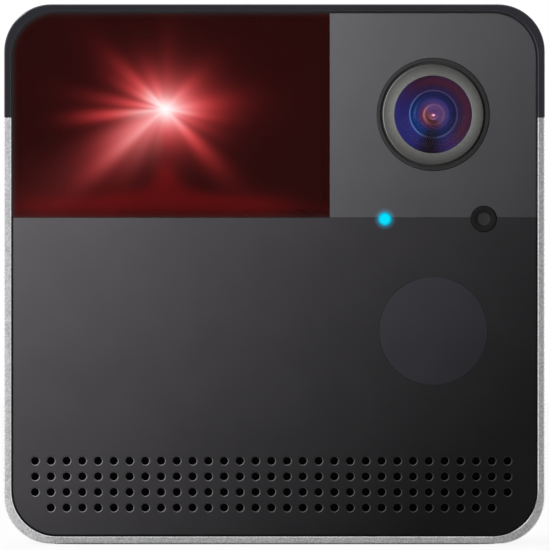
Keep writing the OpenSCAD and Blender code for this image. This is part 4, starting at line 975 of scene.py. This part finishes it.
def makeResetCap():
    middle, half = middleOf("reset_button")
    low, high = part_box("reset_button")
    edge, r = button["round"], half.x - button["flangeLip"]
    stem = button["stemShare"] * r
    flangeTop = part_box("rear_cover")[1].y - button["coverWall"] - button["gap"]
    flangeFoot = flangeTop - button["flange"]
    profile = np.concatenate([
        arc(0, high.y, r - button["dishRounds"] * edge, button["dish"], 270, 360, 9),
        arc(r - edge, high.y - edge, edge, edge, 90, 0, 7),
        [(r, flangeTop), (half.x, flangeTop), (half.x, flangeFoot)],
        [(stem, flangeFoot), (stem, low.y), (0, low.y)],
    ])
    cap = revolve(profile, middle.x, middle.z, button["steps"])
    makePiece("resetCap", *cap, "inner_grey", "reset", ["reset_button"])


makeCoverScrews()
makeResetCap()
print("rear screws and button made")

# Tripod thread: a ridge section carried along a helix on the wall of the bore,
# (r cos t, r sin t, z0 + pitch t / 2 pi + s); it runs out to its least over so many radians at both ends
thread = {"pitch": 1.27 * mm, "bore": 3.2 * mm, "depth": 0.55 * mm, "foot": 0.5 * mm, "crest": 0.1 * mm,
          "start": 0.6 * mm, "turns": 5.6, "perTurn": 64, "runOut": 1.5, "least": 0.05}


def makeTripodThread():
    low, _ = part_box("tripod_insert")
    t = np.linspace(0, turn * thread["turns"], int(thread["turns"] * thread["perTurn"]))
    ends = np.clip(np.minimum(t, t[-1] - t) / thread["runOut"], thread["least"], 1)
    r = thread["bore"] - np.outer(ends, [0, thread["depth"], thread["depth"], 0])
    s = np.outer(ends, [-thread["foot"], -thread["crest"], thread["crest"], thread["foot"]])
    z = low.z + thread["start"] + (thread["pitch"] * t / turn)[:, None] + s
    points = np.stack([r * np.cos(t)[:, None], r * np.sin(t)[:, None], z], -1)
    makePiece("tripodThread", points, barFaces(len(t)), "insert_brass")


# Base pad: a groove-and-land profile of (half width, z) carried round rounded squares, corner radius
# min(half width, corner); the flanks of a groove are given in groove widths
pad = {"corner": 7.0 * mm, "hole": 6.2 * mm, "edge": 0.2 * mm, "groove": 0.22 * mm, "grooveW": 0.5 * mm,
       "flanks": (-0.7, -0.5, 0.5, 0.7), "pitch": 2.4 * mm, "margin": 2.0 * mm, "arcSteps": 10}


def makeGripPad():
    _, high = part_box("base_pad")
    hole, outer, edge, top = pad["hole"], high.x, pad["edge"], high.z
    middles = np.arange(hole + pad["margin"], outer - pad["margin"], pad["pitch"])
    flanks = middles[:, None] + np.array(pad["flanks"]) * pad["grooveW"]
    depths = np.tile([0, pad["groove"], pad["groove"], 0], len(middles))
    profile = np.concatenate([
        [(hole, top), (hole, edge), (hole + edge, 0)],
        np.column_stack([flanks.ravel(), depths]),
        [(outer - edge, 0), (outer, edge), (outer, top), (hole, top)],
    ])
    s, z = profile.T
    corner = np.minimum(s, pad["corner"])
    quarter = np.linspace(0, np.pi / 2, pad["arcSteps"])
    t = np.concatenate([quarter + k * np.pi / 2 for k in range(4)])
    signX = np.repeat([1, -1, -1, 1], pad["arcSteps"])
    signY = np.repeat([1, 1, -1, -1], pad["arcSteps"])
    x = np.outer(s - corner, signX) + np.outer(corner, np.cos(t))
    y = np.outer(s - corner, signY) + np.outer(corner, np.sin(t))
    points = np.stack([x, y, np.outer(z, np.ones(len(t)))], -1)
    makePiece("gripPad", points, gridQuads(len(s), len(t), loop=True), "pad_rubber", replaced=["base_pad"])


makeTripodThread()
makeGripPad()
print("base made")

# The near softboxes each fall on one finish only: the front plastic with what is set into it, and the sleeve
frontPieces = ["lower_panel", "camera_panel", "motion_window", "lensBezel", "lensRing", "lensCup",
               "sensorRing", "sensorWindow"]
for lampName, lit in {"panelBox": frontPieces, "sleeveBox": ["case_sleeve"]}.items():
    receivers = bpy.data.collections.new(lampName + "Falls")
    addLamp(lampName).light_linking.receiver_collection = receivers
    for name in lit:
        receivers.objects.link(bpy.data.objects[name])
print("near softboxes set")
